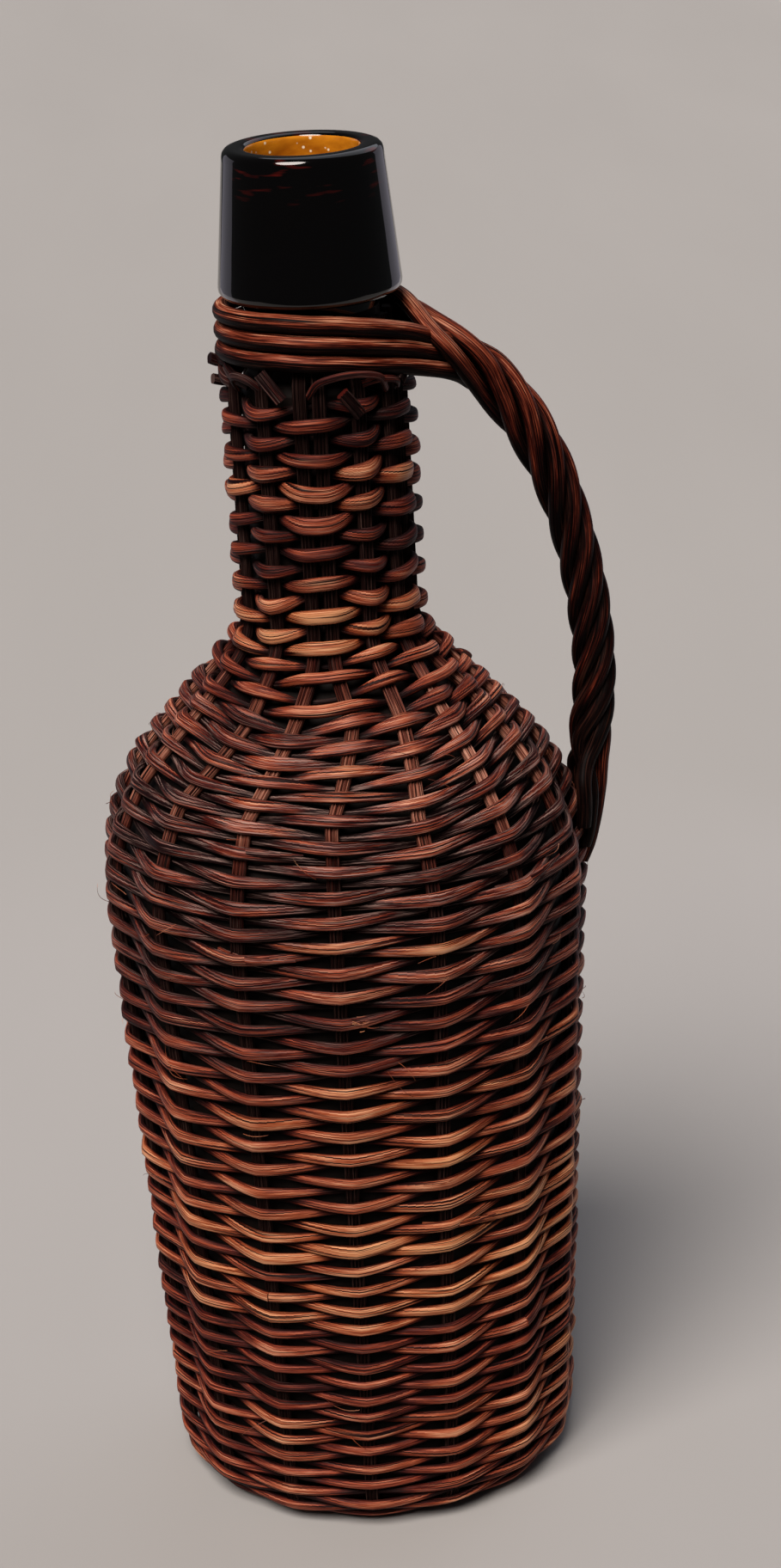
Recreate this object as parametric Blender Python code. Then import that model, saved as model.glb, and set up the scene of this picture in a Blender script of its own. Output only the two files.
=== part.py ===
"""Wicker demijohn: a tall dark glass bottle in a jacket of woven cane, with a twisted cane handle.

Metres, +Z up, standing on z = 0 with the bottle's axis on Z and the handle towards +X.
"""

from math import acos, atan2, ceil, cos, hypot, pi, radians, sin, tan

import bmesh
import bpy
from mathutils import Vector

mm = 0.001

# Cane of the jacket
weaver_thick = 1.8 * mm
stake_thick = 2.2 * mm
stake_wide = 3.1 * mm
lay_gap = 0.62 * mm
glass_gap = 0.4 * mm
end_gap = 0.6 * mm
stake_count = 15

# Glass, by the sharp corners of its outline and the rounds between them
shoulder_radius = 53.0 * mm
body_taper = 9.4 * mm
neck_radius = 15.5 * mm
body_height = 166.0 * mm
shoulder_rise = 40.7 * mm
neck_height = 83.4 * mm
heel_round = 8.0 * mm
shoulder_round = 48.0 * mm
throat_round = 21.0 * mm
wall = 3.0 * mm
punt_margin = 2.6 * mm
punt_rise = 9.0 * mm

# Collar and mouth of the glass
collar_height = 32.5 * mm
collar_taper = 2.6 * mm
collar_edge_round = 2.6 * mm
lip_wide = 5.3 * mm
lip_round = 2.4 * mm
mouth_flare = 0.4 * mm
mouth_round = 1.2 * mm

# Weave
row_pitch = 3.6 * mm
row_gap = 0.5 * mm
foot_row_gap = 1.0 * mm
neck_row_pitch = 3.55 * mm
neck_row_gap = 0.45 * mm
base_weave_radius = 24.0 * mm
foot_round = 6.6 * mm
throat_lead = 13.0 * mm
gather_lead = 40.0 * mm
base_weave_rise = 5.0 * mm
body_weaver_count = 11
neck_weaver_count = 4
neck_group_sizes = (1, 1, 2, 1, 2, 1, 1, 1, 2, 1, 2)

# Base cross, which holds the inner ends of the stakes
stake_start_radius = 12.0 * mm
stick_wide = 5.0 * mm
stick_gap = 1.0 * mm
stick_end_gap = 3.0 * mm
sticks_per_layer = 3

# Canes that bind the neck, and the stakes' ends under them
binding_radius = 2.0 * mm
binding_gap = 0.42 * mm
binding_drop = 3.5 * mm
stake_end_drop = 4.5 * mm
stake_dip_run = 14.0 * mm
stake_dip_rise = 4.5 * mm
dip_round = 4.0 * mm

# Handle, twisted from the binding's ends
strand_radius = 1.8 * mm
strand_gap = 0.3 * mm
strand_count = 5
loop_count = 3
handle_root_drop = 18.7 * mm
handle_root_gap = 14.3 * mm
handle_foot_rise = 10.6 * mm
handle_foot_gap = 4.4 * mm
handle_bow = 11.4 * mm
# Way down the handle, as (share of the bow, share of the rise)
handle_route_shares = (
    (0.0, 1.0), (0.45, 0.915), (0.754, 0.8245), (0.948, 0.711), (1.0, 0.5825),
    (0.939, 0.442), (0.774, 0.302), (0.471, 0.151), (0.0, 0.0),
)
# Lay of the twist at its head and foot, and its turns in steps of one strand
lay_long = 95.0 * mm
lay_short = 50.0 * mm
twist_shift_count = 9
head_shift_share = 0.5
# Pull of the canes towards the neck and the twist on their way, and the length left of a spare end
lead_start_share = 0.7
lead_end_share = 0.6
cut_end_share = 0.2
fan_gap = 0.6 * mm
fan_run = 16.0 * mm
tip_radius = 1.0 * mm
tuck_drop = 24.0 * mm
tuck_rows_over = 2
# The cane ends that make up the handle, as (loop of the binding, side): front is -1, back 1
strand_sources = ((0, 1), (1, 1), (2, -1), (1, -1), (0, -1))

# Fineness of the surfaces
bottle_sides = 24
chord_error = 0.14 * mm
search_steps = 4000
route_steps = 400
twist_steps = 20
loop_steps = 14
lead_steps = 6
fan_steps = 5
punt_steps = 4
sharp_angle = 50
merge_distance = 0.001 * mm

weaver_offset = (stake_thick + weaver_thick) / 2 + lay_gap
stake_offset = glass_gap + weaver_thick + lay_gap + stake_thick / 2
jacket = stake_offset + weaver_offset + weaver_thick / 2
base_level = jacket

# Heights of the glass, and its collar
foot_radius = shoulder_radius - body_taper
shoulder_height = base_level + body_height
throat_height = shoulder_height + shoulder_rise
collar_bottom = throat_height + neck_height
total_height = collar_bottom + collar_height
punt_radius = foot_radius - heel_round - punt_margin
mouth_radius = neck_radius - wall + mouth_flare
collar_top_radius = mouth_radius + lip_wide
collar_base_radius = collar_top_radius + collar_taper

# Widths of the weavers, and places of what is tied to the collar and the shoulder
weaver_wide = row_pitch - row_gap
foot_weaver_wide = row_pitch - foot_row_gap
neck_weaver_wide = neck_row_pitch - neck_row_gap
stick_pitch = stick_wide + stick_gap
stick_length = 2 * (base_weave_radius - stick_end_gap)
binding_top = collar_bottom - binding_drop
binding_pitch = 2 * binding_radius + binding_gap
stake_end_height = collar_bottom - stake_end_drop
stake_dip_height = stake_end_height - stake_dip_run
handle_root_height = collar_bottom - handle_root_drop
handle_foot_height = shoulder_height + handle_foot_rise
tuck_height = handle_foot_height - tuck_drop
tuck_lift = 2 * (tip_radius + strand_gap)
fan_pitch = 2 * strand_radius + fan_gap


def clear_scene():
    for item in list(bpy.data.objects):
        bpy.data.objects.remove(item, do_unlink=True)


def finish(name, colour, roughness, transmission=0.0, metallic=0.0):
    """A surface finish, from an sRGB colour."""
    linear = [((c + 0.055) / 1.055) ** 2.4 if c > 0.04045 else c / 12.92 for c in colour]
    made = bpy.data.materials.new(name)
    made.use_nodes = True
    shader = made.node_tree.nodes["Principled BSDF"]
    shader.inputs["Base Color"].default_value = (*linear, 1.0)
    shader.inputs["Roughness"].default_value = roughness
    shader.inputs["Metallic"].default_value = metallic
    shader.inputs["Transmission Weight"].default_value = transmission
    made.diffuse_color = (*linear, 1.0)
    return made


def add_object(name, bm, material):
    """Closes off a bmesh as a smooth-shaded object of the scene."""
    bmesh.ops.recalc_face_normals(bm, faces=bm.faces)
    mesh = bpy.data.meshes.new(name)
    bm.to_mesh(mesh)
    bm.free()
    mesh.shade_smooth()
    mesh.set_sharp_from_angle(angle=radians(sharp_angle))
    mesh.materials.append(material)
    item = bpy.data.objects.new(name, mesh)
    bpy.context.scene.collection.objects.link(item)
    return item


def lofted(name, rings, material):
    """A rod skinned over a row of sections and closed at both ends."""
    bm = bmesh.new()
    loops = [[bm.verts.new(point) for point in ring] for ring in rings]
    for near, far in zip(loops, loops[1:]):
        for index in range(len(near)):
            after = (index + 1) % len(near)
            bm.faces.new((near[index], near[after], far[after], far[index]))
    bm.faces.new(loops[0])
    bm.faces.new(loops[-1])
    return add_object(name, bm, material)


def offset_corners(corners, distance):
    """Corners of the outline moved outwards, square to its runs."""
    normals = []
    for (r0, z0), (r1, z1) in zip(corners, corners[1:]):
        length = hypot(r1 - r0, z1 - z0)
        normals.append(((z1 - z0) / length, (r0 - r1) / length))
    moved = []
    for index, (r, z) in enumerate(corners):
        before = normals[max(index - 1, 0)]
        after = normals[min(index, len(normals) - 1)]
        share = distance / (1 + before[0] * after[0] + before[1] * after[1])
        moved.append((r + share * (before[0] + after[0]), z + share * (before[1] + after[1])))
    return moved


def rounded_route(corners, rounds):
    """Straight runs with an arc at each inner corner, as (kind, length, ...) pieces."""
    pieces = []
    start = Vector(corners[0])
    for before, corner, after, radius in zip(corners, corners[1:], corners[2:], rounds):
        corner = Vector(corner)
        incoming = (corner - Vector(before)).normalized()
        outgoing = (Vector(after) - corner).normalized()
        turn = atan2(incoming.x * outgoing.y - incoming.y * outgoing.x, incoming.dot(outgoing))
        side = 1 if turn > 0 else -1
        arc_start = corner - incoming * radius * tan(abs(turn) / 2)
        centre = arc_start + Vector((-incoming.y, incoming.x)) * side * radius
        from_centre = arc_start - centre
        pieces.append(("run", (arc_start - start).length, start, incoming))
        angle = atan2(from_centre.y, from_centre.x)
        pieces.append(("arc", radius * abs(turn), centre, radius, angle, side))
        start = corner + outgoing * radius * tan(abs(turn) / 2)
    last = Vector(corners[-1])
    pieces.append(("run", (last - start).length, start, (last - start).normalized()))
    return pieces


def place_on(route, distance):
    """Point and direction, both (r, z), at a distance along a route."""
    for piece in route:
        if distance <= piece[1] or piece is route[-1]:
            break
        distance -= piece[1]
    if piece[0] == "run":
        return piece[2] + piece[3] * distance, piece[3]
    centre, radius, angle, side = piece[2:]
    angle += side * distance / radius
    point = centre + radius * Vector((cos(angle), sin(angle)))
    return point, side * Vector((-sin(angle), cos(angle)))


def arc_steps(piece):
    """Chords that follow an arc to within the chord error; one for a straight run."""
    if piece[0] == "run":
        return 1
    bend, radius = piece[1] / piece[3], piece[3]
    chord_bend = 2 * atan2((2 * chord_error / radius) ** 0.5, 1 - chord_error / radius)
    return max(2, ceil(bend / chord_bend))


def distance_at(route, reached):
    """First distance along a route where a test on its point holds."""
    length = sum(piece[1] for piece in route)
    for step in range(search_steps):
        if reached(place_on(route, length * step / search_steps)[0]):
            return length * step / search_steps
    return length


def clamped(share):
    return min(max(share, 0.0), 1.0)


def smooth(share):
    share = clamped(share)
    return share * share * (3 - 2 * share)


# Outline of the glass under the jacket, from the middle of its foot to the collar
glass_corners = [
    (0.0, base_level),
    (foot_radius, base_level),
    (shoulder_radius, shoulder_height),
    (neck_radius, throat_height),
    (neck_radius, collar_bottom),
]
glass_rounds = (heel_round, shoulder_round, throat_round)

# Line of the stakes, which dips to the glass under the neck binding
dip_radius = neck_radius + glass_gap + stake_thick / 2
stake_corners = offset_corners(glass_corners, stake_offset)
neck_line = stake_corners[3][0]
stake_corners[4:] = [
    (neck_line, stake_dip_height),
    (dip_radius, stake_dip_height + stake_dip_rise),
    (dip_radius, stake_end_height),
]
stake_rounds = (
    foot_round,
    shoulder_round + stake_offset,
    throat_round - stake_offset,
    dip_round,
    dip_round,
)
stake_route = rounded_route(stake_corners, stake_rounds)
route_length = sum(piece[1] for piece in stake_route)

stake_step = 2 * pi / stake_count
group_count = len(neck_group_sizes)
group_step = 2 * pi / group_count
pair_half_angle = (stake_wide + lay_gap) / dip_radius / 2

weave_start = base_weave_radius
foot_end = sum(piece[1] for piece in stake_route[:2])
base_turns = int((foot_end + base_weave_rise - weave_start) / row_pitch)
throat_distance = distance_at(stake_route, lambda point: point.y > throat_height)
gather_start = throat_distance - gather_lead
body_turns = int((throat_distance - throat_lead - weave_start) / row_pitch)
weave_end = weave_start + body_turns * row_pitch
neck_start = weave_end
gather_end = sum(piece[1] for piece in stake_route[:5])
neck_turns = int((sum(piece[1] for piece in stake_route[:7]) - neck_start) / neck_row_pitch)

# Rows at the handle's foot that pass over the tucked strand
tuck_high = distance_at(stake_route, lambda point: point.y > tuck_height)
first_over = 2 * int(((tuck_high - weave_start) / row_pitch - 1) / 2) + 1
tuck_row_distance = weave_start + first_over * row_pitch
tuck_low = tuck_row_distance - (2 * tuck_rows_over - 1) * row_pitch


def stake_groups():
    """For each stake, its group on the neck and its side in the pair: -1, 0 or 1."""
    places = []
    for group, size in enumerate(neck_group_sizes):
        places += [(group, 0)] if size == 1 else [(group, -1), (group, 1)]
    return places


def stake_azimuth(stake, distance):
    """Angle round the axis: evenly spaced on the body, in singles and pairs on the neck."""
    group, side = stake_groups()[stake % stake_count]
    turns = stake // stake_count * 2 * pi
    even = stake % stake_count * stake_step
    members = [s for s, (g, _) in enumerate(stake_groups()) if g == group]
    even_centre = sum(members) / len(members) * stake_step
    shift = clamped((distance - gather_start) / (weave_end - gather_start))
    centre = even_centre + shift * (group * group_step - even_centre)
    close = clamped((distance - weave_end) / (gather_end - weave_end))
    spread = (even - even_centre) * (1 - close) + side * pair_half_angle * close
    return turns + centre + spread


def on_jacket(distance, azimuth, lift):
    """Point of the jacket, with its uphill, outward and sideways directions."""
    point, direction = place_on(stake_route, distance)
    out = Vector((cos(azimuth), sin(azimuth), 0.0))
    up = Vector((0.0, 0.0, 1.0))
    uphill = out * direction.x + up * direction.y
    outward = out * direction.y - up * direction.x
    sideways = Vector((-sin(azimuth), cos(azimuth), 0.0))
    return out * point.x + up * point.y + outward * lift, uphill, outward, sideways


def weaver_ring(distance, azimuth, lift, wide):
    """Section of a split cane: flat towards the bottle, ridged outside."""
    point, uphill, outward, _ = on_jacket(distance, azimuth, lift)
    inner = point - outward * weaver_thick / 2
    return [inner - uphill * wide / 2, inner + uphill * wide / 2, point + outward * weaver_thick / 2]


def stake_ring(distance, azimuth):
    """Section of a stake: a flat rod with a ridge inside and out."""
    point, _, outward, sideways = on_jacket(distance, azimuth, 0.0)
    across, through = sideways * stake_wide / 2, outward * stake_thick / 2
    return [point - across, point - through, point + across, point + through]


def body_stitch(stitch, shift=0.0):
    """Distance up the jacket, azimuth and lift where the weaver crosses a stake."""
    distance = weave_start + (stitch + shift) * row_pitch / stake_count
    azimuth = stake_azimuth(stitch, distance)
    azimuth += shift * (stake_azimuth(stitch + 1, distance) - azimuth)
    lift = weaver_offset if stitch % 2 else -weaver_offset
    if stitch % stake_count == 0 and stitch % 2 and tuck_low < distance < tuck_high:
        lift += tuck_lift
    return distance, azimuth, lift * (1 - 2 * shift)


def body_weaver(name, first, last, wide, material):
    """One cane woven over and under the stakes from one crossing to another."""
    distance, azimuth, _ = body_stitch(first)
    radius = place_on(stake_route, distance)[0].x
    span = radius * (stake_azimuth(first + 1, distance) - azimuth)
    rings = [weaver_ring(*body_stitch(first, end_gap / span), wide)]
    rings += [weaver_ring(*body_stitch(stitch), wide) for stitch in range(first + 1, last + 1)]
    return lofted(name, rings, material)


def neck_stitch(stitch):
    """Crossings of one group of neck stakes: one point over each stake."""
    distance = neck_start + stitch * neck_row_pitch / group_count
    group = stitch % group_count
    turns = stitch // group_count * 2 * pi
    members = [s for s, (g, _) in enumerate(stake_groups()) if g == group]
    lift = weaver_offset if stitch % 2 else -weaver_offset
    return [(distance, turns + stake_azimuth(s, distance), lift) for s in members]


def neck_weaver(name, first, last, material):
    """One cane woven round the neck, where some stakes run in pairs."""
    spots = [spot for stitch in range(first, last + 1) for spot in neck_stitch(stitch)]
    distance, azimuth, lift = spots[0]
    radius = place_on(stake_route, distance)[0].x
    spots[0] = (distance, azimuth + end_gap / radius, lift)
    rings = [weaver_ring(*spot, neck_weaver_wide) for spot in spots]
    return lofted(name, rings, material)


def make_bottle(material):
    """Hollow bottle: outer side, collar, lip and inner side turned as one outline."""
    outline = []
    for step in range(punt_steps):
        share = step / punt_steps
        outline.append((punt_radius * share, base_level + punt_rise * cos(share * pi / 2) ** 2))
    outline += sampled(rounded_route(glass_corners, glass_rounds), punt_radius)
    base_edge = (collar_base_radius, collar_bottom)
    top_edge = (collar_top_radius, total_height)
    collar = rounded_route(
        [(neck_radius, collar_bottom), base_edge, top_edge, (mouth_radius, total_height),
         (mouth_radius, total_height - wall)],
        (collar_edge_round, lip_round, mouth_round),
    )
    outline += sampled(collar)
    inner_corners = offset_corners(glass_corners, -wall)
    inner_corners[-1] = (inner_corners[-1][0], collar_bottom)
    inner_rounds = (heel_round - wall / 2, shoulder_round - wall, throat_round + wall)
    inner = rounded_route(inner_corners, inner_rounds)
    outline += sampled(inner, punt_radius)[::-1]
    for step in reversed(range(punt_steps)):
        share = step / punt_steps
        level = base_level + wall + punt_rise * cos(share * pi / 2) ** 2
        outline.append((punt_radius * share, level))
    return turned("glass_bottle", outline, material)


def route_stops(route, start=0.0):
    """Distances of a route's ends, of its bends and of the steps round its arcs."""
    stops = [start]
    reached = 0.0
    for piece in route:
        steps = arc_steps(piece)
        stops += [reached + piece[1] * step / steps for step in range(1, steps + 1)]
        reached += piece[1]
    return [stop for stop in stops if stop >= start]


def sampled(route, start=0.0):
    """Points (r, z) of a route from a distance along it."""
    return [tuple(place_on(route, stop)[0]) for stop in route_stops(route, start)]


def turned(name, outline, material):
    """A closed solid turned from an outline that starts and ends on the axis."""
    bm = bmesh.new()
    corners = [bm.verts.new((r, 0.0, z)) for r, z in outline]
    edges = [bm.edges.new(pair) for pair in zip(corners, corners[1:])]
    bmesh.ops.spin(
        bm, geom=corners + edges, axis=(0, 0, 1), cent=(0, 0, 0),
        angle=2 * pi, steps=bottle_sides, use_merge=True,
    )
    bmesh.ops.remove_doubles(bm, verts=bm.verts, dist=merge_distance)
    return add_object(name, bm, material)


def make_stakes(material):
    """Each stake is one rod from the base cross, round the heel and up to the binding."""
    gather = [gather_start, weave_end, gather_end]
    plain = route_stops(stake_route, stake_start_radius)
    plain = [d for d in plain if min(abs(d - turn) for turn in gather) > stake_thick / 2]
    for stake in range(stake_count):
        rings = [stake_ring(d, stake_azimuth(stake, d)) for d in sorted(plain + gather)]
        lofted(f"stake_{stake + 1:02d}", rings, material)


def make_body_weave(materials):
    """The spiral of weavers, from the base to the throat."""
    first_body = base_turns * stake_count
    body_weaver("base_weaver", 0, first_body, foot_weaver_wide, materials[0])
    stitches = body_turns * stake_count - first_body
    ends = [first_body + stitches * index // body_weaver_count
            for index in range(body_weaver_count + 1)]
    for index, (start, end) in enumerate(zip(ends, ends[1:])):
        material = materials[(index * 2 + 1) % len(materials)]
        body_weaver(f"body_weaver_{index + 1:02d}", start, end, weaver_wide, material)


def make_neck_weave(materials):
    stitches = neck_turns * group_count
    ends = [stitches * index // neck_weaver_count for index in range(neck_weaver_count + 1)]
    for index, (start, end) in enumerate(zip(ends, ends[1:])):
        material = materials[(index + 1) % len(materials)]
        neck_weaver(f"neck_weaver_{index + 1}", start, end, material)


def make_base_cross(material):
    """Three flat sticks below the stakes' inner ends and three above, crossing them."""
    upper = base_level - glass_gap - weaver_thick / 2
    for layer, height in enumerate((weaver_thick / 2, upper)):
        for index in range(sticks_per_layer):
            side = (index - (sticks_per_layer - 1) / 2) * stick_pitch
            size = (stick_length, stick_wide, weaver_thick)
            centre = (0.0, side, height)
            if layer:
                size, centre = (size[1], size[0], size[2]), (side, 0.0, height)
            bm = bmesh.new()
            bmesh.ops.create_cube(bm, size=1.0)
            bmesh.ops.scale(bm, vec=size, verts=bm.verts)
            bmesh.ops.translate(bm, vec=centre, verts=bm.verts)
            add_object(f"base_stick_{layer * sticks_per_layer + index + 1}", bm, material)


def catmull(points, share):
    """Point at a share of the way along a smooth curve through the points."""
    spans = len(points) - 1
    span = min(int(share * spans), spans - 1)
    t = share * spans - span
    p1, p2 = points[span], points[span + 1]
    p0 = points[span - 1] if span else 2 * p1 - p2
    p3 = points[span + 2] if span + 2 < len(points) else 2 * p2 - p1
    cubic = (3 * p1 - p0 - 3 * p2 + p3) * t ** 3
    return (2 * p1 + (p2 - p0) * t + (2 * p0 - 5 * p1 + 4 * p2 - p3) * t ** 2 + cubic) / 2


def handle_axis():
    """Centre line of the twisted handle, in even steps of (point, direction, length so far)."""
    rise = handle_root_height - handle_foot_height
    at_foot = distance_at(stake_route, lambda point: point.y > handle_foot_height)
    twist = lay_radius() + strand_radius
    foot = place_on(stake_route, at_foot)[0].x + jacket - stake_offset + twist + handle_foot_gap
    root = handle_root_radius()
    keys = [
        Vector((foot + (root - foot) * z + bow * handle_bow, 0.0, handle_foot_height + z * rise))
        for bow, z in handle_route_shares
    ]
    dense = [catmull(keys, index / route_steps) for index in range(route_steps + 1)]
    lengths = [0.0]
    for a, b in zip(dense, dense[1:]):
        lengths.append(lengths[-1] + (b - a).length)
    line = []
    index = 0
    for step in range(twist_steps + 1):
        target = lengths[-1] * step / twist_steps
        while index < route_steps - 1 and lengths[index + 1] < target:
            index += 1
        share = (target - lengths[index]) / (lengths[index + 1] - lengths[index])
        direction = (dense[index + 1] - dense[index]).normalized()
        line.append((dense[index].lerp(dense[index + 1], share), direction, target))
    return line


def lay_turn(share):
    """Angle that the strands have turned: the lay shortens from the root to the foot."""
    tightening = lay_long / lay_short - 1
    whole_turn = (twist_shift_count + head_shift_share) * 2 * pi / strand_count
    return whole_turn * share * (1 + tightening * share / 2) / (1 + tightening / 2)


def strand_points(strand, line):
    """Points of one strand down the twist, then fanned out and seated on the jacket."""
    whole = line[-1][2]
    lay = lay_radius()
    points = []
    for point, direction, length in line:
        angle = (strand + head_shift_share) * 2 * pi / strand_count - lay_turn(length / whole)
        across = Vector((-direction.z, 0.0, direction.x))
        back = Vector((0.0, 1.0, 0.0))
        points.append(point + lay * (cos(angle) * across + sin(angle) * back))
    return points


def lay_radius():
    """Radius of the strands' centres in the twist, so that neighbours just clear."""
    slant = atan2(2 * pi * strand_radius * 2, lay_short)
    return (2 * strand_radius + strand_gap) / (2 * sin(pi / strand_count) * cos(slant))


def fan_points(strand, points, line):
    """The strand's lower end: laid beside the others on the jacket, and cut there."""
    place = (strand - twist_shift_count) % strand_count
    slot = (0, 2, 1, -1, -2)[place]
    start = points[-1]
    foot = line[-1][0]
    surface = weaver_offset + weaver_thick / 2 + strand_gap
    fan_start = distance_at(stake_route, lambda p: p.y > foot.z and p.x > neck_radius * 2)
    dive_start = tuck_row_distance + row_pitch * 1.5
    run = fan_start - dive_start - abs(slot) * fan_pitch
    steps = fan_steps - abs(slot)
    made = []
    for step in range(1, steps + 1):
        distance = fan_start - run * step / steps
        share = (fan_start - distance) / fan_run
        radius = strand_radius + (tip_radius - strand_radius) * (step / steps) ** 2
        centre, _ = place_on(stake_route, distance)
        angle = slot * fan_pitch / (centre.x + surface)
        seat = on_jacket(distance, angle, surface + radius)[0]
        spread, drop = smooth(share * 1.6), smooth(share)
        here = Vector((
            start.x + (seat.x - start.x) * drop,
            start.y + (seat.y - start.y) * spread,
            seat.z,
        ))
        made.append((here, radius))
    if slot == 0:
        under = stake_thick / 2 + strand_gap + tip_radius
        for distance in (tuck_row_distance + row_pitch * 0.6, tuck_low):
            made.append((on_jacket(distance, 0.0, under)[0], tip_radius))
    return made


def binding_end(loop, side):
    """Where a loop of the binding leaves the neck, and its direction there."""
    ring = binding_ring()
    leave = side * acos(ring / handle_root_radius())
    height = binding_top - loop * binding_pitch
    point = Vector((ring * cos(leave), ring * sin(leave), height))
    direction = Vector((sin(abs(leave)), -side * cos(leave), 0.0))
    return point, direction, leave


def binding_ring():
    """Radius of the binding's loops round the neck."""
    return dip_radius + stake_thick / 2 + lay_gap + binding_radius


def handle_root_radius():
    """Distance from the bottle's axis to the head of the twist."""
    return binding_ring() + handle_root_gap


def hermite(p0, d0, p1, d1, share):
    a = 2 * share ** 3 - 3 * share ** 2 + 1
    b = share ** 3 - 2 * share ** 2 + share
    c = -2 * share ** 3 + 3 * share ** 2
    d = share ** 3 - share ** 2
    return a * p0 + b * d0 + c * p1 + d * d1


def lead_points(loop, side, target, target_direction):
    """The cane's way from the neck to the head of the twist."""
    point, direction, _ = binding_end(loop, side)
    length = (target - point).length
    leaving = direction * length * lead_start_share
    arriving = target_direction * length * lead_end_share
    return [
        hermite(point, leaving, target, arriving, step / lead_steps)
        for step in range(lead_steps)
    ]


def loop_points(loop):
    """The cane's way round the neck, from the front over the left to the back."""
    _, _, leave = binding_end(loop, -1)
    sweep = 2 * pi + 2 * leave
    ring = binding_ring()
    height = binding_top - loop * binding_pitch
    return [
        Vector((
            ring * cos(leave - sweep * step / loop_steps),
            ring * sin(leave - sweep * step / loop_steps),
            height,
        ))
        for step in range(1, loop_steps)
    ]


def cane(name, stops, material):
    """A round cane through stops (point, radius), as a curve with a bevel and closed ends."""
    curve = bpy.data.curves.new(name, "CURVE")
    curve.dimensions = "3D"
    curve.bevel_depth = strand_radius
    curve.bevel_resolution = 1
    curve.use_fill_caps = True
    spline = curve.splines.new("POLY")
    spline.points.add(len(stops) - 1)
    for spot, (point, radius) in zip(spline.points, stops):
        spot.co = (*point, 1.0)
        spot.radius = radius / strand_radius
    spline.use_smooth = True
    curve.materials.append(material)
    item = bpy.data.objects.new(name, curve)
    bpy.context.scene.collection.objects.link(item)
    return item


def make_handle(material):
    """Three canes: each is laid round the neck, and its ends are twisted into the handle."""
    line = handle_axis()
    strands = [strand_points(index, line) for index in range(strand_count)]
    tails = [
        [(point, strand_radius) for point in points] + fan_points(index, points, line)
        for index, points in enumerate(strands)
    ]
    for loop in range(loop_count):
        ways = []
        for side in (-1, 1):
            whole = (loop, side) in strand_sources
            # The end without a strand of its own is cut off on the way of its loop's other end
            source = (loop, side) if whole else (loop, -side)
            tail = tails[strand_sources.index(source)]
            direction = (tail[1][0] - tail[0][0]).normalized()
            lead = lead_points(loop, side, tail[0][0], direction)
            thinning = (strand_radius - binding_radius) / lead_steps
            radii = [binding_radius + thinning * step for step in range(lead_steps)]
            way = list(zip(lead, radii))
            ways.append(way + tail if whole else way[:int(cut_end_share * lead_steps) + 1])
        middle = [(point, binding_radius) for point in loop_points(loop)]
        stops = ways[0][::-1] + middle + ways[1]
        cane(f"handle_cane_{loop + 1}", stops, material)


def main():
    clear_scene()
    amber = finish("dark_amber_glass", (0.20, 0.09, 0.02), 0.06, transmission=0.6)
    mahogany = finish("stained_cane_mahogany", (0.36, 0.17, 0.10), 0.45)
    chestnut = finish("stained_cane_chestnut", (0.47, 0.25, 0.14), 0.45)
    honey = finish("stained_cane_honey", (0.66, 0.38, 0.18), 0.42)
    umber = finish("stained_cane_umber", (0.27, 0.13, 0.09), 0.5)
    rods = finish("peeled_stake_cane", (0.42, 0.20, 0.13), 0.5)
    gloss = finish("varnished_handle_cane", (0.33, 0.12, 0.06), 0.3)
    make_bottle(amber)
    make_base_cross(rods)
    make_stakes(rods)
    make_body_weave((mahogany, chestnut, umber, honey))
    make_neck_weave((mahogany, honey, chestnut))
    make_handle(gloss)


main()
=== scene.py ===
"""Wicker demijohn, dressed: dark glass in a jacket of stained split cane, with a twisted handle.

Sizes in metres. The bottle's axis is Z, the handle is towards +X, and -Y faces the viewer.
"""
from math import acos, atan2, ceil, cos, hypot, pi, radians, sin, tan

import bmesh
import bpy
import numpy as np
from mathutils import Matrix, Vector


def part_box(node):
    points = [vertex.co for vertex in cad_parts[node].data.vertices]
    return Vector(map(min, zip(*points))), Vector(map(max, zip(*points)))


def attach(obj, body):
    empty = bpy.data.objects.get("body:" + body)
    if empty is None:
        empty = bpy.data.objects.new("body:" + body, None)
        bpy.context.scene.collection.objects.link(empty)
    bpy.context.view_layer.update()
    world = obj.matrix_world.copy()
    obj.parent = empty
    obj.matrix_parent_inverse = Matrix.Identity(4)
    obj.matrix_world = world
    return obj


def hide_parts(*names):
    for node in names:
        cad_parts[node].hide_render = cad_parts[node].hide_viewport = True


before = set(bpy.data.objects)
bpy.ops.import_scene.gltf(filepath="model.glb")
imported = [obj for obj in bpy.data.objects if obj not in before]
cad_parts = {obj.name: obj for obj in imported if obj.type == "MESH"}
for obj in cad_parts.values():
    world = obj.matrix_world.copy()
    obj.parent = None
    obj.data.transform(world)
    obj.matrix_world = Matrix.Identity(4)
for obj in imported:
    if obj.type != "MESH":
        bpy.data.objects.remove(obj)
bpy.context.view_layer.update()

mm = 0.001
# Edges of a cane that turn by more than this stay sharp
sharp_degrees = 65

# Glass: the same outline that the solids have
glass_low, glass_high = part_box("glass_bottle")
base_level = glass_low[2]
total_height = glass_high[2]
shoulder_radius = 53.0 * mm
body_taper = 9.4 * mm
foot_radius = shoulder_radius - body_taper
neck_radius = 15.5 * mm
body_height = 166.0 * mm
shoulder_rise = 40.7 * mm
collar_height = 33.7 * mm
heel_round = 8.0 * mm
shoulder_round = 48.0 * mm
throat_round = 21.0 * mm
wall = 3.0 * mm
punt_radius = 33.0 * mm
punt_rise = 9.0 * mm
collar_top_radius = 18.2 * mm
collar_base_radius = 21.3 * mm
collar_edge_round = 2.2 * mm
lip_round = 1.9 * mm
mouth_radius = 12.9 * mm
mouth_round = 1.2 * mm
# Depth inside the mouth over which the painted light from the lip fades
lit_depth = 16.0 * mm
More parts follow.
